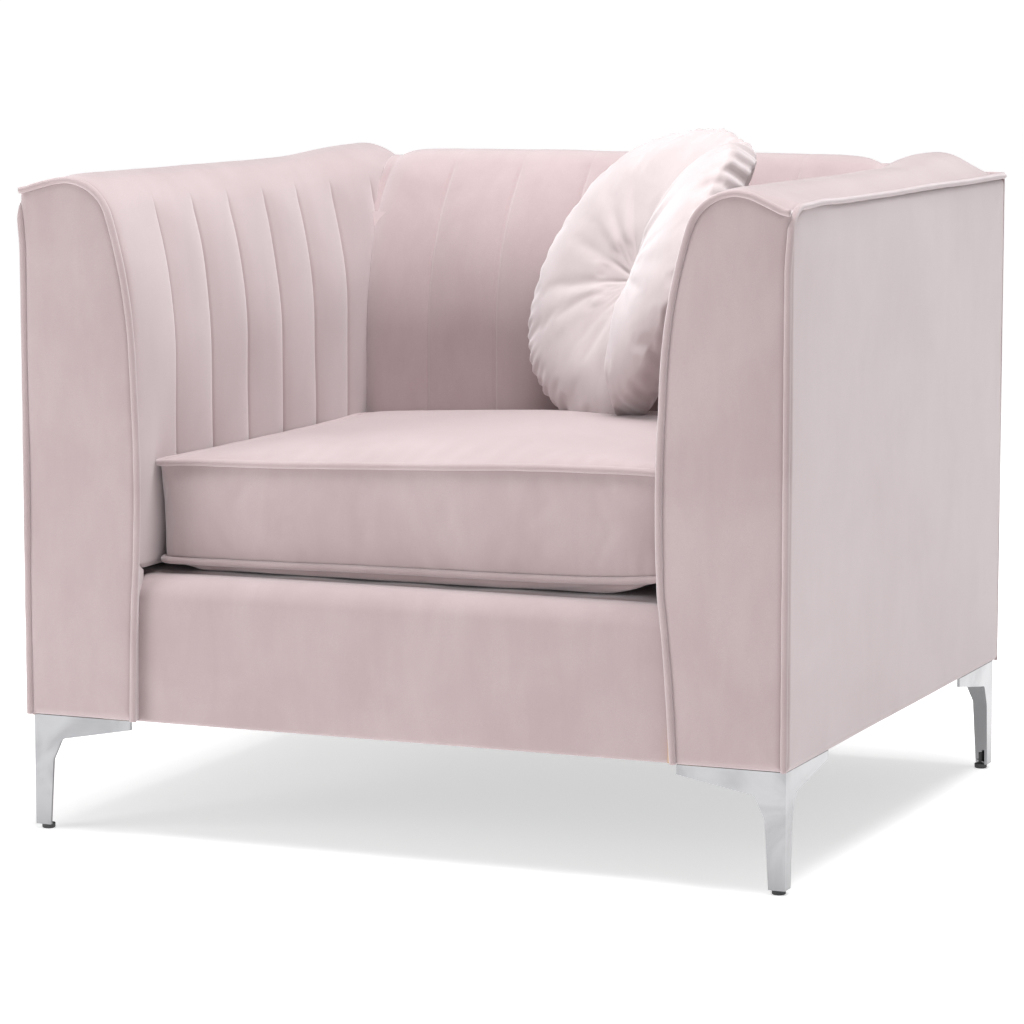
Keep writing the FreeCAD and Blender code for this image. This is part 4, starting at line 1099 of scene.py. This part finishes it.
    def top_piping(self) -> None:
        """Piping up the outer front edge, turning back along the top to the rear corner."""
        _, outer, _, _ = self.outline(160)
        upright = outer[outer[:, 1] < 0.735]
        face = np.full(len(upright), self.front - 0.0035)
        up = np.stack([upright[:, 0] + 0.001, face, upright[:, 1]], axis=1)
        turn = np.linspace(0, math.pi / 2, 12)[1:]
        rise, depth = 0.032, 0.040
        start = up[-1]
        bend = np.stack([np.full(len(turn), start[0]), start[1] + depth * (1 - np.cos(turn)),
                         start[2] + rise * np.sin(turn)], axis=1)
        back = np.linspace(bend[-1, 1], self.rear + 0.003, 120)[1:]
        settle = eased((back - back[0]) / 0.1)
        run = np.stack([bend[-1, 0] * (1 - settle) + (self.outer + CORD) * settle, back,
                        bend[-1, 2] * (1 - settle) + self.edge_height(back) * settle], axis=1)
        path = resampled(np.concatenate([up, bend, run]), 420)
        path[:, 2] += ripple(path, 71, 0.22, 0.0009) * eased((path[:, 1] - self.front - 0.02) / 0.05)
        word = self.side.word
        piece = piping(f"arm_top_piping_{word}", self.turned(path), CORD, seed=7 + self.side.value)
        finish_piece(piece, Body.CHAIR, BLUSH, f"arm_top_welt_{word}")


# ---------------------------------------------------------------- back and base

@dataclass
class Back:
    """The quilted inside of the back, its flat outside and its top piping. Sizes in metres."""

    half: float = 0.3450
    crease: float = 0.3325
    rear: float = REAR
    foot: float = 0.324
    liner: float = 0.262
    rail_under: float = 0.712
    channels: Channels = Channels(pitch=0.096, first=0.048)

    def build(self) -> None:
        """Make every piece of the back."""
        self.inside()
        self.outside_panel()
        self.top_piping()

    def inside(self) -> None:
        """The channel-quilted inside, with the pad that fills it."""
        low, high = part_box("inside_back_cover")
        roll = Roll(face=low.y, crest_at=0.353, crest=high.z + 0.003, crest_radius=0.062, sweep_radius=0.300,
                    edge_at=self.rear, edge=TOP_EDGE, foot=self.foot)
        stations = spread(-self.half, self.half, STATION, self.channels.seams(-self.half, self.half))
        shape = roll.outline((34, 30, 34, 10))
        grid = along_stations(stations, shape)
        facing = normals_of(grid, (0, -1, 0.2))
        along = grid[..., 0]
        lift = self.channels.lift(along) - self.channels.depth * 0.45
        reach = np.linspace(0, 1, len(shape))[None]
        free = 1 - eased((reach - 0.88) / 0.12)
        lift *= free * (1 - 0.9 * eased((grid[..., 2] - 0.755) / 0.032))
        end = np.maximum(self.crease - np.abs(along), 0)
        lift -= 0.009 * np.exp(-(end / 0.014)) * free
        lift += ripple(grid, 23, 0.16, 0.0009) * np.sin(math.pi * reach)
        grid = grid + facing * lift[..., None]
        hidden = np.array([(self.rear, self.rail_under), (self.liner, self.rail_under),
                           (self.liner, self.foot)])
        piece = swept("back_inside", np.concatenate([grid, along_stations(stations, hidden)], axis=1))
        finish_pad(piece, Body.CHAIR, BLUSH, 0.85, "inside_back_cover", "back_pad")

    def outside_panel(self) -> None:
        """The outside, drawn tight across the whole width."""
        low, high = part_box("outside_back_panel")
        top = TOP_EDGE - 0.003
        along, height, gap = rectangle(low.x + (high.x - low.x) * crowded(120),
                                       low.z + (top - low.z) * crowded(90))
        flat = np.stack([along, np.full_like(gap, self.rear), height], axis=-1)
        piece = plate("back_outside", *tight_side(flat, 1, gap, 57))
        finish_pad(piece, Body.CHAIR, BLUSH, 0.9, "outside_back_panel")

    def top_piping(self) -> None:
        """Piping along the top of the outside."""
        half, count = 0.478, 200
        path = np.stack([np.linspace(-half, half, count), np.full(count, self.rear + CORD),
                         np.full(count, TOP_EDGE)], axis=1)
        path[:, 2] += ripple(path, 73, 0.22, 0.0009)
        piece = piping("back_top_piping", path, CORD, seed=9)
        finish_piece(piece, Body.CHAIR, BLUSH, "back_top_welt")


@dataclass
class Base:
    """The padded front rail, the platform under the cushion and the lining below. Sizes in metres."""

    tuck: float = 0.010

    def build(self) -> None:
        """Make every soft piece of the base."""
        self.front_rail()
        self.platform()
        self.lining()

    def front_rail(self) -> None:
        """The padded rail between the arms."""
        low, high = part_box("front_rail_cover")
        radius, crest, puff = 0.026, high.z - 0.0100, 0.003
        face = np.linspace(low.z + 0.001, crest - radius, 40, endpoint=False)
        turn = np.linspace(math.pi, math.pi / 2, 16)
        front = np.stack([np.full(40, low.y), face], axis=1)
        bend = np.stack([low.y + radius * (1 + np.cos(turn)), crest - radius * (1 - np.sin(turn))], axis=1)
        top = np.stack([np.linspace(low.y + radius + 0.004, high.y, 8), np.full(8, crest)], axis=1)
        inside = low.y + 0.012
        rest = np.array([(high.y, crest - 0.012), (inside, crest - 0.04), (inside, low.z + 0.001)])
        shape = np.concatenate([front, bend, top, rest])
        stations = (low.x - self.tuck) + (high.x - low.x + 2 * self.tuck) * crowded(110)
        grid = along_stations(stations, shape)
        face_rows, rows = len(front) + len(bend), len(shape) - len(rest)
        shown = np.r_[np.ones(face_rows), np.linspace(1, 0, len(top))]
        end = self.tuck + np.minimum(grid[..., 0] - low.x, high.x - grid[..., 0])
        foot = grid[..., 2] - low.z
        lift = puff * (1 - np.exp(-end / 0.05)) * (1 - np.exp(-foot / 0.02)) - puff * np.exp(-end / 0.006)
        lift += ripple(grid, 91, 0.2, 0.0009) * (1 - np.exp(-foot / 0.03))
        facing = normals_of(grid[:, :rows], (0, -1, 0.2))
        grid[:, :rows] += facing * (lift[:, :rows] * shown)[..., None]
        piece = swept("front_rail", grid)
        finish_pad(piece, Body.CHAIR, BLUSH, 0.85, "front_rail_cover", "front_rail_pad")

    def platform(self) -> None:
        """The cloth platform that the cushion lies on."""
        low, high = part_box("deck_cover")
        along, deep, gap = rectangle(low.x + (high.x - low.x) * crowded(80),
                                     low.y + (high.y - low.y) * crowded(70))
        edge = rounded(gap, 0.008)
        grid = np.stack([along, deep, np.full_like(gap, low.z)], axis=-1)
        spring_pitch, spring_mark = 0.13, 0.00096
        springs = spring_mark * np.cos(along * math.tau / spring_pitch) * edge
        grid[..., 2] += (high.z - low.z - 0.002) * (0.25 + 0.75 * edge) + springs
        stitch = np.minimum(np.abs(deep - (low.y + 0.10)), np.abs(np.abs(along) - 0.30))
        grid[..., 2] -= 0.0015 * np.exp(-(stitch / 0.003) ** 2) * edge
        grid[..., 2] = np.minimum(grid[..., 2], high.z - 0.0002)
        back = grid.copy()
        back[..., 2] = low.z
        piece = plate("platform_cloth", grid, back)
        finish_pad(piece, Body.CHAIR, BLUSH, 0.4, "deck_cover")

    def lining(self) -> None:
        """The thin black lining stapled underneath."""
        low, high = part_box("dust_cover")
        along, deep, _ = rectangle(low.x + (high.x - low.x) * crowded(60),
                                   low.y + (high.y - low.y) * crowded(56))
        across = (deep - (low.y + high.y) / 2) * 2 / (high.y - low.y)
        sag = (1 - (along / high.x) ** 2) * (1 - across ** 2)
        grid = np.stack([along, deep, high.z - 0.0012 - 0.004 * sag], axis=-1)
        grid[..., 2] += ripple(grid, 95, 0.18, 0.0005) * sag
        back = grid.copy()
        back[..., 2] += 0.0008
        piece = plate("under_lining", grid, back)
        finish_piece(piece, Body.CHAIR, LINING, "dust_cover")


# ---------------------------------------------------------------- loose cushion

@dataclass(frozen=True)
class Stuffing:
    """How a sewn cover is filled and let go, for one short cloth simulation."""

    pressure: float
    slack: float
    cap: float
    bend: float = 0.5
    stretch: float = 15.0
    frames: int = 20

    def settle(self, piece: bpy.types.Object, held: np.ndarray) -> None:
        """Inflate the cover, hold its seams, and keep the shape that it takes.

        Args:
            piece: the cover, whose mesh is changed.
            held: how firmly each corner is held, from 0 to 1.
        """
        start = corners_of(piece)
        pinned = piece.vertex_groups.new(name="held")
        for index, share in enumerate(held):
            if share > 0:
                pinned.add([index], float(share), "REPLACE")
        cloth = piece.modifiers.new("Stuffing", "CLOTH")
        rules = cloth.settings
        rules.quality = 5
        rules.mass = 0.3
        rules.air_damping = 2.0
        rules.tension_stiffness = rules.compression_stiffness = rules.shear_stiffness = self.stretch
        rules.bending_stiffness = self.bend
        rules.use_pressure = True
        rules.uniform_pressure_force = self.pressure
        rules.shrink_min = rules.shrink_max = -self.slack
        rules.vertex_group_mass = pinned.name
        rules.effector_weights.gravity = 0.0
        cloth.point_cache.frame_start = 1
        cloth.point_cache.frame_end = self.frames
        scene = bpy.context.scene
        for step in range(1, self.frames + 1):
            scene.frame_set(step)
        only(piece)
        bpy.ops.object.modifier_apply(modifier=cloth.name)
        scene.frame_set(1)
        piece.vertex_groups.clear()
        moved = corners_of(piece) - start
        far = np.linalg.norm(moved, axis=1, keepdims=True)
        kept = self.cap * np.tanh(far / self.cap) / np.maximum(far, 1e-9)
        move_corners(piece, start + moved * kept)


@dataclass
class SeatCushion:
    """The loose boxed cushion with piped seams and a zip at the rear. Sizes in metres."""

    corner: float = 0.016
    seam_low: float = 0.332
    seam_high: float = 0.4555
    tilt: float = 0.008
    taper: float = 0.020
    crown: float = 0.016
    belly: float = 0.016
    forward: float = 0.021
    cord: float = 0.0044
    count: int = 84
    stuffing: Stuffing = Stuffing(pressure=3.0, slack=0.003, cap=0.012)

    def build(self) -> None:
        """Make the cover and its piping."""
        low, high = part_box("seat_cushion_cover")
        self.floor = low.z + 0.0004
        self.half = (high.x - low.x) / 2 + 0.002
        self.front, self.rear = low.y - 0.006, high.y - 0.004
        self.cover()

    def outline(self) -> tuple[np.ndarray, np.ndarray]:
        """The seam's plan: a patch of points inside it, and the line itself, drawn out at its corners."""
        bend = np.linspace(0, math.pi / 4, 6)
        radius = self.corner
        middle = (self.front + self.rear) / 2
        deep = (self.rear - self.front) / 2

        def edge(length: float, away: float) -> np.ndarray:
            """One edge, running along +x at y = -away."""
            start = np.stack([-length + radius * (1 - np.sin(math.pi / 4 - bend)),
                              -away + radius * (1 - np.cos(math.pi / 4 - bend))], axis=1)
            end = start[::-1] * np.array([-1, 1])
            across = np.linspace(-1, 1, 90)
            line = np.stack([across * (length - radius), np.full(90, -away)], axis=1)
            line[:, 1] += 0.0065 * (1 - np.abs(across) ** 7)
            return np.concatenate([start, line[1:-1], end])

        places = 0.4 * np.linspace(0, 1, self.count) + 0.6 * crowded(self.count)
        wide = resampled(edge(self.half, deep), self.count, places)
        tall = resampled(edge(deep, self.half), self.count, places)
        shift = np.array([0, middle])
        bottom, top = wide + shift, wide * np.array([1, -1]) + shift
        left = np.stack([-np.abs(tall[:, 1]), tall[:, 0]], axis=1) + shift
        right = left * np.array([-1, 1])
        rim = np.concatenate([bottom[:-1], right[:-1], top[:0:-1], left[:0:-1]])
        return coons(left, right, bottom, top), rim

    def seam_height(self, level: float, places: np.ndarray) -> np.ndarray:
        """Height of a seam along its line.

        Args:
            level: 0 for the lower seam, 1 for the upper.
            places: places in plan.

        Returns:
            The height at each place.
        """
        across = places[..., 0] / self.half
        low = self.seam_low + 0.005 * np.abs(across) ** 6 + 0.003 * across + 0.004 * across ** 7
        tilt = self.tilt * np.sin(math.pi / 2 * np.clip(across, -1, 1))
        high = self.seam_high + tilt - 0.003 * np.abs(across) ** 8
        return low + (high - low) * level

    def seam(self, level: float, places: np.ndarray) -> np.ndarray:
        """Points of the plan at one level of the boxing, which narrows a little downwards."""
        return np.stack([places[..., 0] * (1 - self.taper * (1 - level)), places[..., 1],
                         self.seam_height(level, places)], axis=-1)

    def ground(self, points: np.ndarray) -> np.ndarray:
        """The lowest height the cover may reach: the platform, and just over the rail in front of it."""
        return self.floor - 0.0022 * eased((self.front + 0.004 - points[..., 1]) / 0.006)

    def cover(self) -> None:
        """The cover: crowned top and bottom panels with a boxed side between the seams."""
        plan, rim = self.outline()
        places = 0.8 * np.linspace(0, 1, self.count) + 1.2 * crowded(self.count) - 1
        over, deep = np.meshgrid(places, places)
        gap = np.minimum(1 - np.abs(over), (1 - np.abs(deep)) * 0.87) * self.half
        broad = (1 - np.abs(over) ** 2.4) * (1 - np.abs(deep) ** 2.4)
        top = self.seam(1, plan)
        top[..., 2] += self.crown * (0.35 * rounded(gap, 0.030) + 0.65 * broad)
        corner = eased((1 - np.abs(over)) / 0.22) * eased((1 - np.abs(deep)) / 0.22 + 0.4)
        drop = rounded(gap, 0.020) * (0.25 + 0.75 * corner)
        under = self.seam(0, plan)
        under[..., 2] -= self.belly * drop
        way = plan - np.array([0, (self.front + self.rear) / 2])
        way /= np.maximum(np.linalg.norm(way, axis=-1, keepdims=True), 1e-9)
        way = way * (np.abs(way) > 0.2)
        spill = self.forward * np.sin(math.pi * np.clip(drop, 0, 1) ** 1.7) * corner
        under[..., :2] += way * spill[..., None]
        under[..., 2] = np.maximum(under[..., 2], self.ground(under))
        outward = np.roll(rim, -1, axis=0) - np.roll(rim, 1, axis=0)
        outward = np.stack([outward[:, 1], -outward[:, 0]], axis=1)
        outward /= np.linalg.norm(outward, axis=1, keepdims=True)
        ends = np.abs(np.abs(rim[:, 0]) - self.half)
        beside = np.abs(rim[:, 1] - (self.front + self.rear) / 2) - (self.rear - self.front) / 2
        tips = np.exp(-(ends / 0.03) ** 2) * np.exp(-(beside / 0.03) ** 2)
        bulge, pucker_height, fade = 0.0085, 0.0011, 0.16
        waves = np.sin(np.arange(len(rim)) * 1.9) * np.exp(-(ends / 0.5) ** 2) * self.crease(rim)
        wall = []
        for level in np.linspace(0, 1, 22)[1:-1]:
            push = bulge * math.sin(math.pi * level) ** 0.7 * (1 - 1.35 * tips)
            pucker = pucker_height * math.exp(-level / fade) * waves
            ring = rim + outward * (push + pucker)[:, None]
            wall.append(self.seam(level, ring))
        piece = self.closed(top, under, np.array(wall))
        held = np.zeros(len(piece.data.vertices))
        held[self.seam_rows(piece)] = 1.0
        self.stuffing.settle(piece, held)
        self.rest(piece)
        smoothed(piece)
        finish_pad(piece, Body.CUSHION, BLUSH, 0.85, "seat_cushion_cover", "seat_cushion_core")
        for name, node, level, seed in (("cushion_top_piping", "cushion_top_welt", 1, 13),
                                        ("cushion_bottom_piping", "cushion_bottom_welt", 0, 17)):
            path = self.seam(level, rim + outward * 0.0025)
            path[:, 2] += ripple(path, seed, 0.3, 0.0008)
            cord = piping(name, path, self.cord, closed=True, seed=seed)
            finish_piece(cord, Body.CUSHION, BLUSH, node)

    def crease(self, rim: np.ndarray) -> np.ndarray:
        """Where the boxing puckers above the lower seam: near the four corners."""
        near = np.abs(np.abs(rim[:, 0]) - self.half + 0.035)
        return np.exp(-(near / 0.028) ** 2)

    def seam_rows(self, piece: bpy.types.Object) -> np.ndarray:
        """The corner numbers of both seams, found by where they lie.

        Args:
            piece: the cover.

        Returns:
            The numbers, lower seam first.
        """
        points = corners_of(piece)
        _, rim = self.outline()
        found = []
        for level in (0, 1):
            line = self.seam(level, rim)
            gap = np.linalg.norm(points[:, None, :2] - line[None, :, :2], axis=2)
            nearest = gap.argmin(axis=1)
            near = (gap.min(axis=1) < 1e-4) & (np.abs(points[:, 2] - line[nearest, 2]) < 1e-4)
            found.append(np.flatnonzero(near))
        return np.concatenate(found)

    def rest(self, piece: bpy.types.Object) -> None:
        """Flatten the underside where it lies on the platform.

        Args:
            piece: the cover, whose mesh is changed.
        """
        points = corners_of(piece)
        limit = self.half + 0.0015
        points[:, 2] = np.maximum(points[:, 2], self.ground(points))
        points[:, 0] = np.clip(points[:, 0], -limit, limit)
        move_corners(piece, points)

    def closed(self, top: np.ndarray, under: np.ndarray, wall: np.ndarray) -> bpy.types.Object:
        """Join the two panels and the rings between them.

        Args:
            top: the top panel's points.
            under: the bottom panel's points.
            wall: rings of points from the bottom seam up.

        Returns:
            The closed cover.
        """
        face, rim = grid_faces(*top.shape[:2])
        size = top.shape[0] * top.shape[1]
        between = (2 * size + np.arange(len(rim)) + len(rim) * step for step in range(len(wall)))
        rings = [rim + size, *between, rim]
        sides = [np.stack([one, np.roll(one, -1), np.roll(two, -1), two], axis=-1)
                 for one, two in zip(rings, rings[1:])]
        points = np.concatenate([top.reshape(-1, 3), under.reshape(-1, 3), wall.reshape(-1, 3)])
        faces = [*face.tolist(), *(face[:, ::-1] + size).tolist(), *np.concatenate(sides).tolist()]
        return shell("seat_cushion", points, faces)


# ---------------------------------------------------------------- pillow

@dataclass
class RoundPillow:
    """The round gathered pillow with a covered button each side. Sizes in metres."""

    radius: float = 0.204
    low: float = 0.012
    half: float = 0.050
    dimple: float = 0.030
    around: int = 150
    fold: float = 0.45
    lobe: float = 0.026
    sink: float = 0.010
    stuffing: Stuffing = Stuffing(pressure=4.0, slack=0.028, cap=0.030, bend=0.8, stretch=10.0, frames=16)

    def build(self) -> None:
        """Make the cover and the buttons."""
        buttons = [sum(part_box(name), Vector()) / 2 for name in ("pillow_front_button", "pillow_rear_button")]
        centre = (buttons[0] + buttons[1]) / 2
        normal = (buttons[0] - buttons[1]).normalized()
        across = Vector((0, 0, 1)).cross(normal).normalized()
        up = normal.cross(across)
        self.frame = Matrix((across, up, normal)).transposed().to_4x4()
        self.frame.translation = centre - Vector((0, 0, self.sink))
        self.cover()
        self.button("pillow_button_front", "pillow_front_button", 1)
        self.button("pillow_button_rear", "pillow_rear_button", -1)

    def placed(self, points: np.ndarray) -> np.ndarray:
        """Points of the pillow lying flat, moved to where it leans."""
        matrix = np.array(self.frame)
        return points @ matrix[:3, :3].T + matrix[:3, 3]

    def cover(self) -> None:
        """The gathered cover, stuffed by simulation and then pressed into its corner."""
        around = np.linspace(0, math.tau, self.around, endpoint=False)
        out = np.r_[np.linspace(0.05, 0.80, 26), 1 - (1 - np.linspace(0, 1, 14)[1:]) ** 1.6 * 0.2]
        gather = self.gathers(around)
        faces = []
        for sign in (1, -1):
            share = out[:, None]
            height = 0.72 * self.half * np.maximum(1 - share ** 2.2, 0) ** 0.5
            sunk = (self.half - self.dimple) * np.ones_like(share)
            height = sunk + (height - sunk) * eased((share - 0.04) / 0.30)
            height = height + 0.0016 * gather * np.sin(math.pi * share) * (1 + 0.4 * sign)
            radius = self.radius * share * (1 + 0.012 * gather * eased((share - 0.8) / 0.2))
            faces.append(np.stack([radius * np.cos(around), radius * np.sin(around), sign * height], axis=-1))
        front, back = faces
        piece = swept("round_pillow", np.concatenate([front, back[::-1][1:]]))
        points = corners_of(piece)
        reach = np.hypot(points[:, 0], points[:, 1])
        held = (reach < self.radius * 0.075).astype(float)
        held = np.maximum(held, 0.5 * (np.abs(points[:, 2]) < 0.002) * (reach > self.radius * 0.93))
        self.stuffing.settle(piece, held)
        smoothed(piece)
        move_corners(piece, self.placed(self.pressed(corners_of(piece))))
        finish_pad(piece, Body.PILLOW, PILLOW_VELVET_PAINTED_LIGHT, 0.7, "pillow_cover", "pillow_filling")

    def gathers(self, around: np.ndarray) -> np.ndarray:
        """Uneven folds round the pillow.

        Args:
            around: angles round its rim.

        Returns:
            The folds' height at each angle, from -1 to 1.
        """
        draw = np.random.default_rng(8)
        fold = np.zeros_like(around)
        for count in (5, 8, 11, 14, 18, 23):
            fold += np.sin(count * around + draw.uniform(0, math.tau)) * draw.uniform(0.5, 1)
        return fold / np.abs(fold).max()

    def pressed(self, points: np.ndarray) -> np.ndarray:
        """Bend the pillow where the arm folds its right side forwards.

        Args:
            points: places on the pillow lying flat.

        Returns:
            The places after the bend.
        """
        line = 0.010 + np.where(points[:, 1] > 0, 2.7, 1.0) * points[:, 1] ** 2
        past = points[:, 0] - line
        ease = 0.014
        bend = ease * np.logaddexp(0, past / ease)
        moved = points.copy()
        reach = np.hypot(points[:, 0], points[:, 1]) / self.radius
        angle = np.arctan2(points[:, 1], points[:, 0])
        crimp = np.sin(58 * angle + 2.5 * np.sin(5 * angle)) * eased((reach - 0.80) / 0.18)
        crimp *= 0.3 + 0.7 * np.cos(angle - math.radians(225)) ** 2
        moved[:, :2] *= (1 + 0.008 * crimp)[:, None]
        moved[:, 2] += self.fold * bend + self.lobe * eased(past / 0.022) * eased(points[:, 2] / 0.02 + 0.5)
        moved[:, 0] -= 0.10 * bend
        moved[:, 1] -= self.low * np.exp(-(reach / 0.55) ** 2)
        return moved

    def button(self, name: str, node: str, sign: int) -> None:
        """A covered button, domed with a tucked rim.

        Args:
            name: the piece's name.
            node: the CAD node that it stands for.
            sign: 1 in front, -1 behind.
        """
        count, radius, rise = 40, 0.0135, 0.0065
        middle = self.half - self.dimple + 0.005
        around = np.linspace(0, math.tau, count, endpoint=False)
        rings = []
        for angle in np.linspace(0.06, math.pi - 0.06, 18):
            reach, high = radius * math.sin(angle) ** 0.8, rise * math.cos(angle)
            rings.append(np.stack([reach * np.cos(around), reach * np.sin(around) - self.low,
                                   np.full(count, sign * (middle + high))], axis=-1))
        piece = swept(name, self.placed(np.array(rings)))
        finish_piece(piece, Body.PILLOW, PILLOW_VELVET_PAINTED_LIGHT, node)


# ---------------------------------------------------------------- frame, feet and studio

def dress_frame() -> None:
    """Give each CAD node that stays its own finish."""
    table: dict[str, Finish] = {
        "glides": GLIDE, "foot_screws": ZINC, "spring_clips": ZINC, "seat_springs": SPRING_STEEL,
        "back_webbing": WEBBING, "arm_liners": FIBREBOARD, "cushion_zip_tape": ZIP_CLOTH, "zip_slider": ZIP,
        "pillow_twine": TWINE,
    }
    for name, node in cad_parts.items():
        if node.hide_render:
            continue
        default = CHROME if name.startswith("foot_") else HARDWOOD
        finish = table.get(name, default)
        node.data.materials.clear()
        node.data.materials.append(finish.material())
        log.info("%-26s keeps its CAD shape, %s", name, finish.name)


def aimed(thing: bpy.types.Object, place: Sequence[float], target: Sequence[float]) -> None:
    """Put a lamp or the camera in the scene, turned to its target.

    Args:
        thing: the lamp or camera.
        place: where it stands.
        target: what it points at.
    """
    thing.location = place
    thing.rotation_mode = "QUATERNION"
    thing.rotation_quaternion = (Vector(target) - Vector(place)).to_track_quat("-Z", "Y")
    bpy.context.scene.collection.objects.link(thing)


@dataclass(frozen=True)
class Lamp:
    """A soft square lamp aimed at the seat. Sizes in metres, power in watts."""

    name: str
    place: tuple[float, float, float]
    size: float
    power: float
    target: tuple[float, float, float] = (0.0, 0.0, 0.4)

    def hang(self) -> None:
        """Add the lamp."""
        light = bpy.data.lights.new(self.name, "AREA")
        light.size = self.size
        light.energy = self.power
        lamp = bpy.data.objects.new(self.name, light)
        lamp.visible_glossy = False
        aimed(lamp, self.place, self.target)


@dataclass(frozen=True)
class Studio:
    """A pale glowing floor with a painted shadow under the chair, soft light and the camera. Sizes in metres."""

    floor: float = 80
    # painted shadow: within shade_from to shade_to metres of the chair, the floor's glow fades to the shade
    # colour
    shade_from: float = 0.45
    shade_to: float = 1.5
    shade: Colour = (0.76, 0.76, 0.76)
    albedo: Colour = (0.88, 0.88, 0.88)
    glow: float = 0.74
    sky: float = 0.30
    backdrop: float = 0.78
    lamps: tuple[Lamp, ...] = (Lamp("Top", (0.3, -0.25, 3.2), 1.8, 128),
                               Lamp("Front", (-3.4, -3.2, 1.0), 2.4, 95))
    lens: float = 140.1
    eye: tuple[float, float, float] = (1.887, -4.531, 0.9936)
    target: tuple[float, float, float] = (-0.0274, 0.0, 0.3579)

    def build(self) -> None:
        """Make the floor, the light and the camera."""
        self.lay_floor()
        self.light()
        camera = bpy.data.cameras.new("Camera")
        camera.lens = self.lens
        camera.sensor_width = 36
        camera.clip_end = 200
        eye = bpy.data.objects.new("Camera", camera)
        aimed(eye, self.eye, self.target)
        bpy.context.scene.camera = eye
        bpy.context.scene.view_settings.view_transform = "Standard"

    def lay_floor(self) -> None:
        """The floor, which glows though it is no lamp, and glows less round the chair as a painted shadow."""
        bpy.ops.object.select_all(action="DESELECT")
        bpy.ops.mesh.primitive_plane_add(size=self.floor, location=(0, 0, 0))
        floor = bpy.context.active_object
        floor.name = "studio_floor"
        paint = bpy.data.materials.new("Studio floor")
        paint.use_nodes = True
        work = Shader(paint.node_tree)
        away = work.add("VectorMath", {"operation": "LENGTH"}, Vector=work.place()).outputs["Value"]
        # painted shadow: the glow's colour is the shade colour near the chair and white further out
        glow = work.blend(work.ramp(away, self.shade_from, self.shade_to), self.shade, (1, 1, 1))
        shader = work.add("BsdfPrincipled", Base_Color=(*self.albedo, 1), Roughness=0.9, Emission_Color=glow,
                          Emission_Strength=self.glow)
        work.feed(work.add("OutputMaterial").inputs["Surface"], shader.outputs[0])
        floor.data.materials.append(paint)

    def light(self) -> None:
        """The even light all round, and the lamps."""
        world = bpy.data.worlds.new("Studio")
        world.use_nodes = True
        work = Shader(world.node_tree)
        seen = work.add("LightPath").outputs["Is Camera Ray"]
        strength = work.shifted(self.sky, seen, self.backdrop)
        glow = work.add("Background", Color=(1, 1, 1, 1), Strength=strength)
        work.feed(work.add("OutputWorld").inputs["Surface"], glow.outputs[0])
        bpy.context.scene.world = world
        for lamp in self.lamps:
            lamp.hang()


def main() -> None:
    """Build the chair and its studio."""
    logging.basicConfig(level=logging.INFO, format="%(message)s")
    for side in Side:
        Arm(side).build()
    Back().build()
    Base().build()
    SeatCushion().build()
    RoundPillow().build()
    dress_frame()
    Studio().build()


if __name__ == "__main__":
    main()
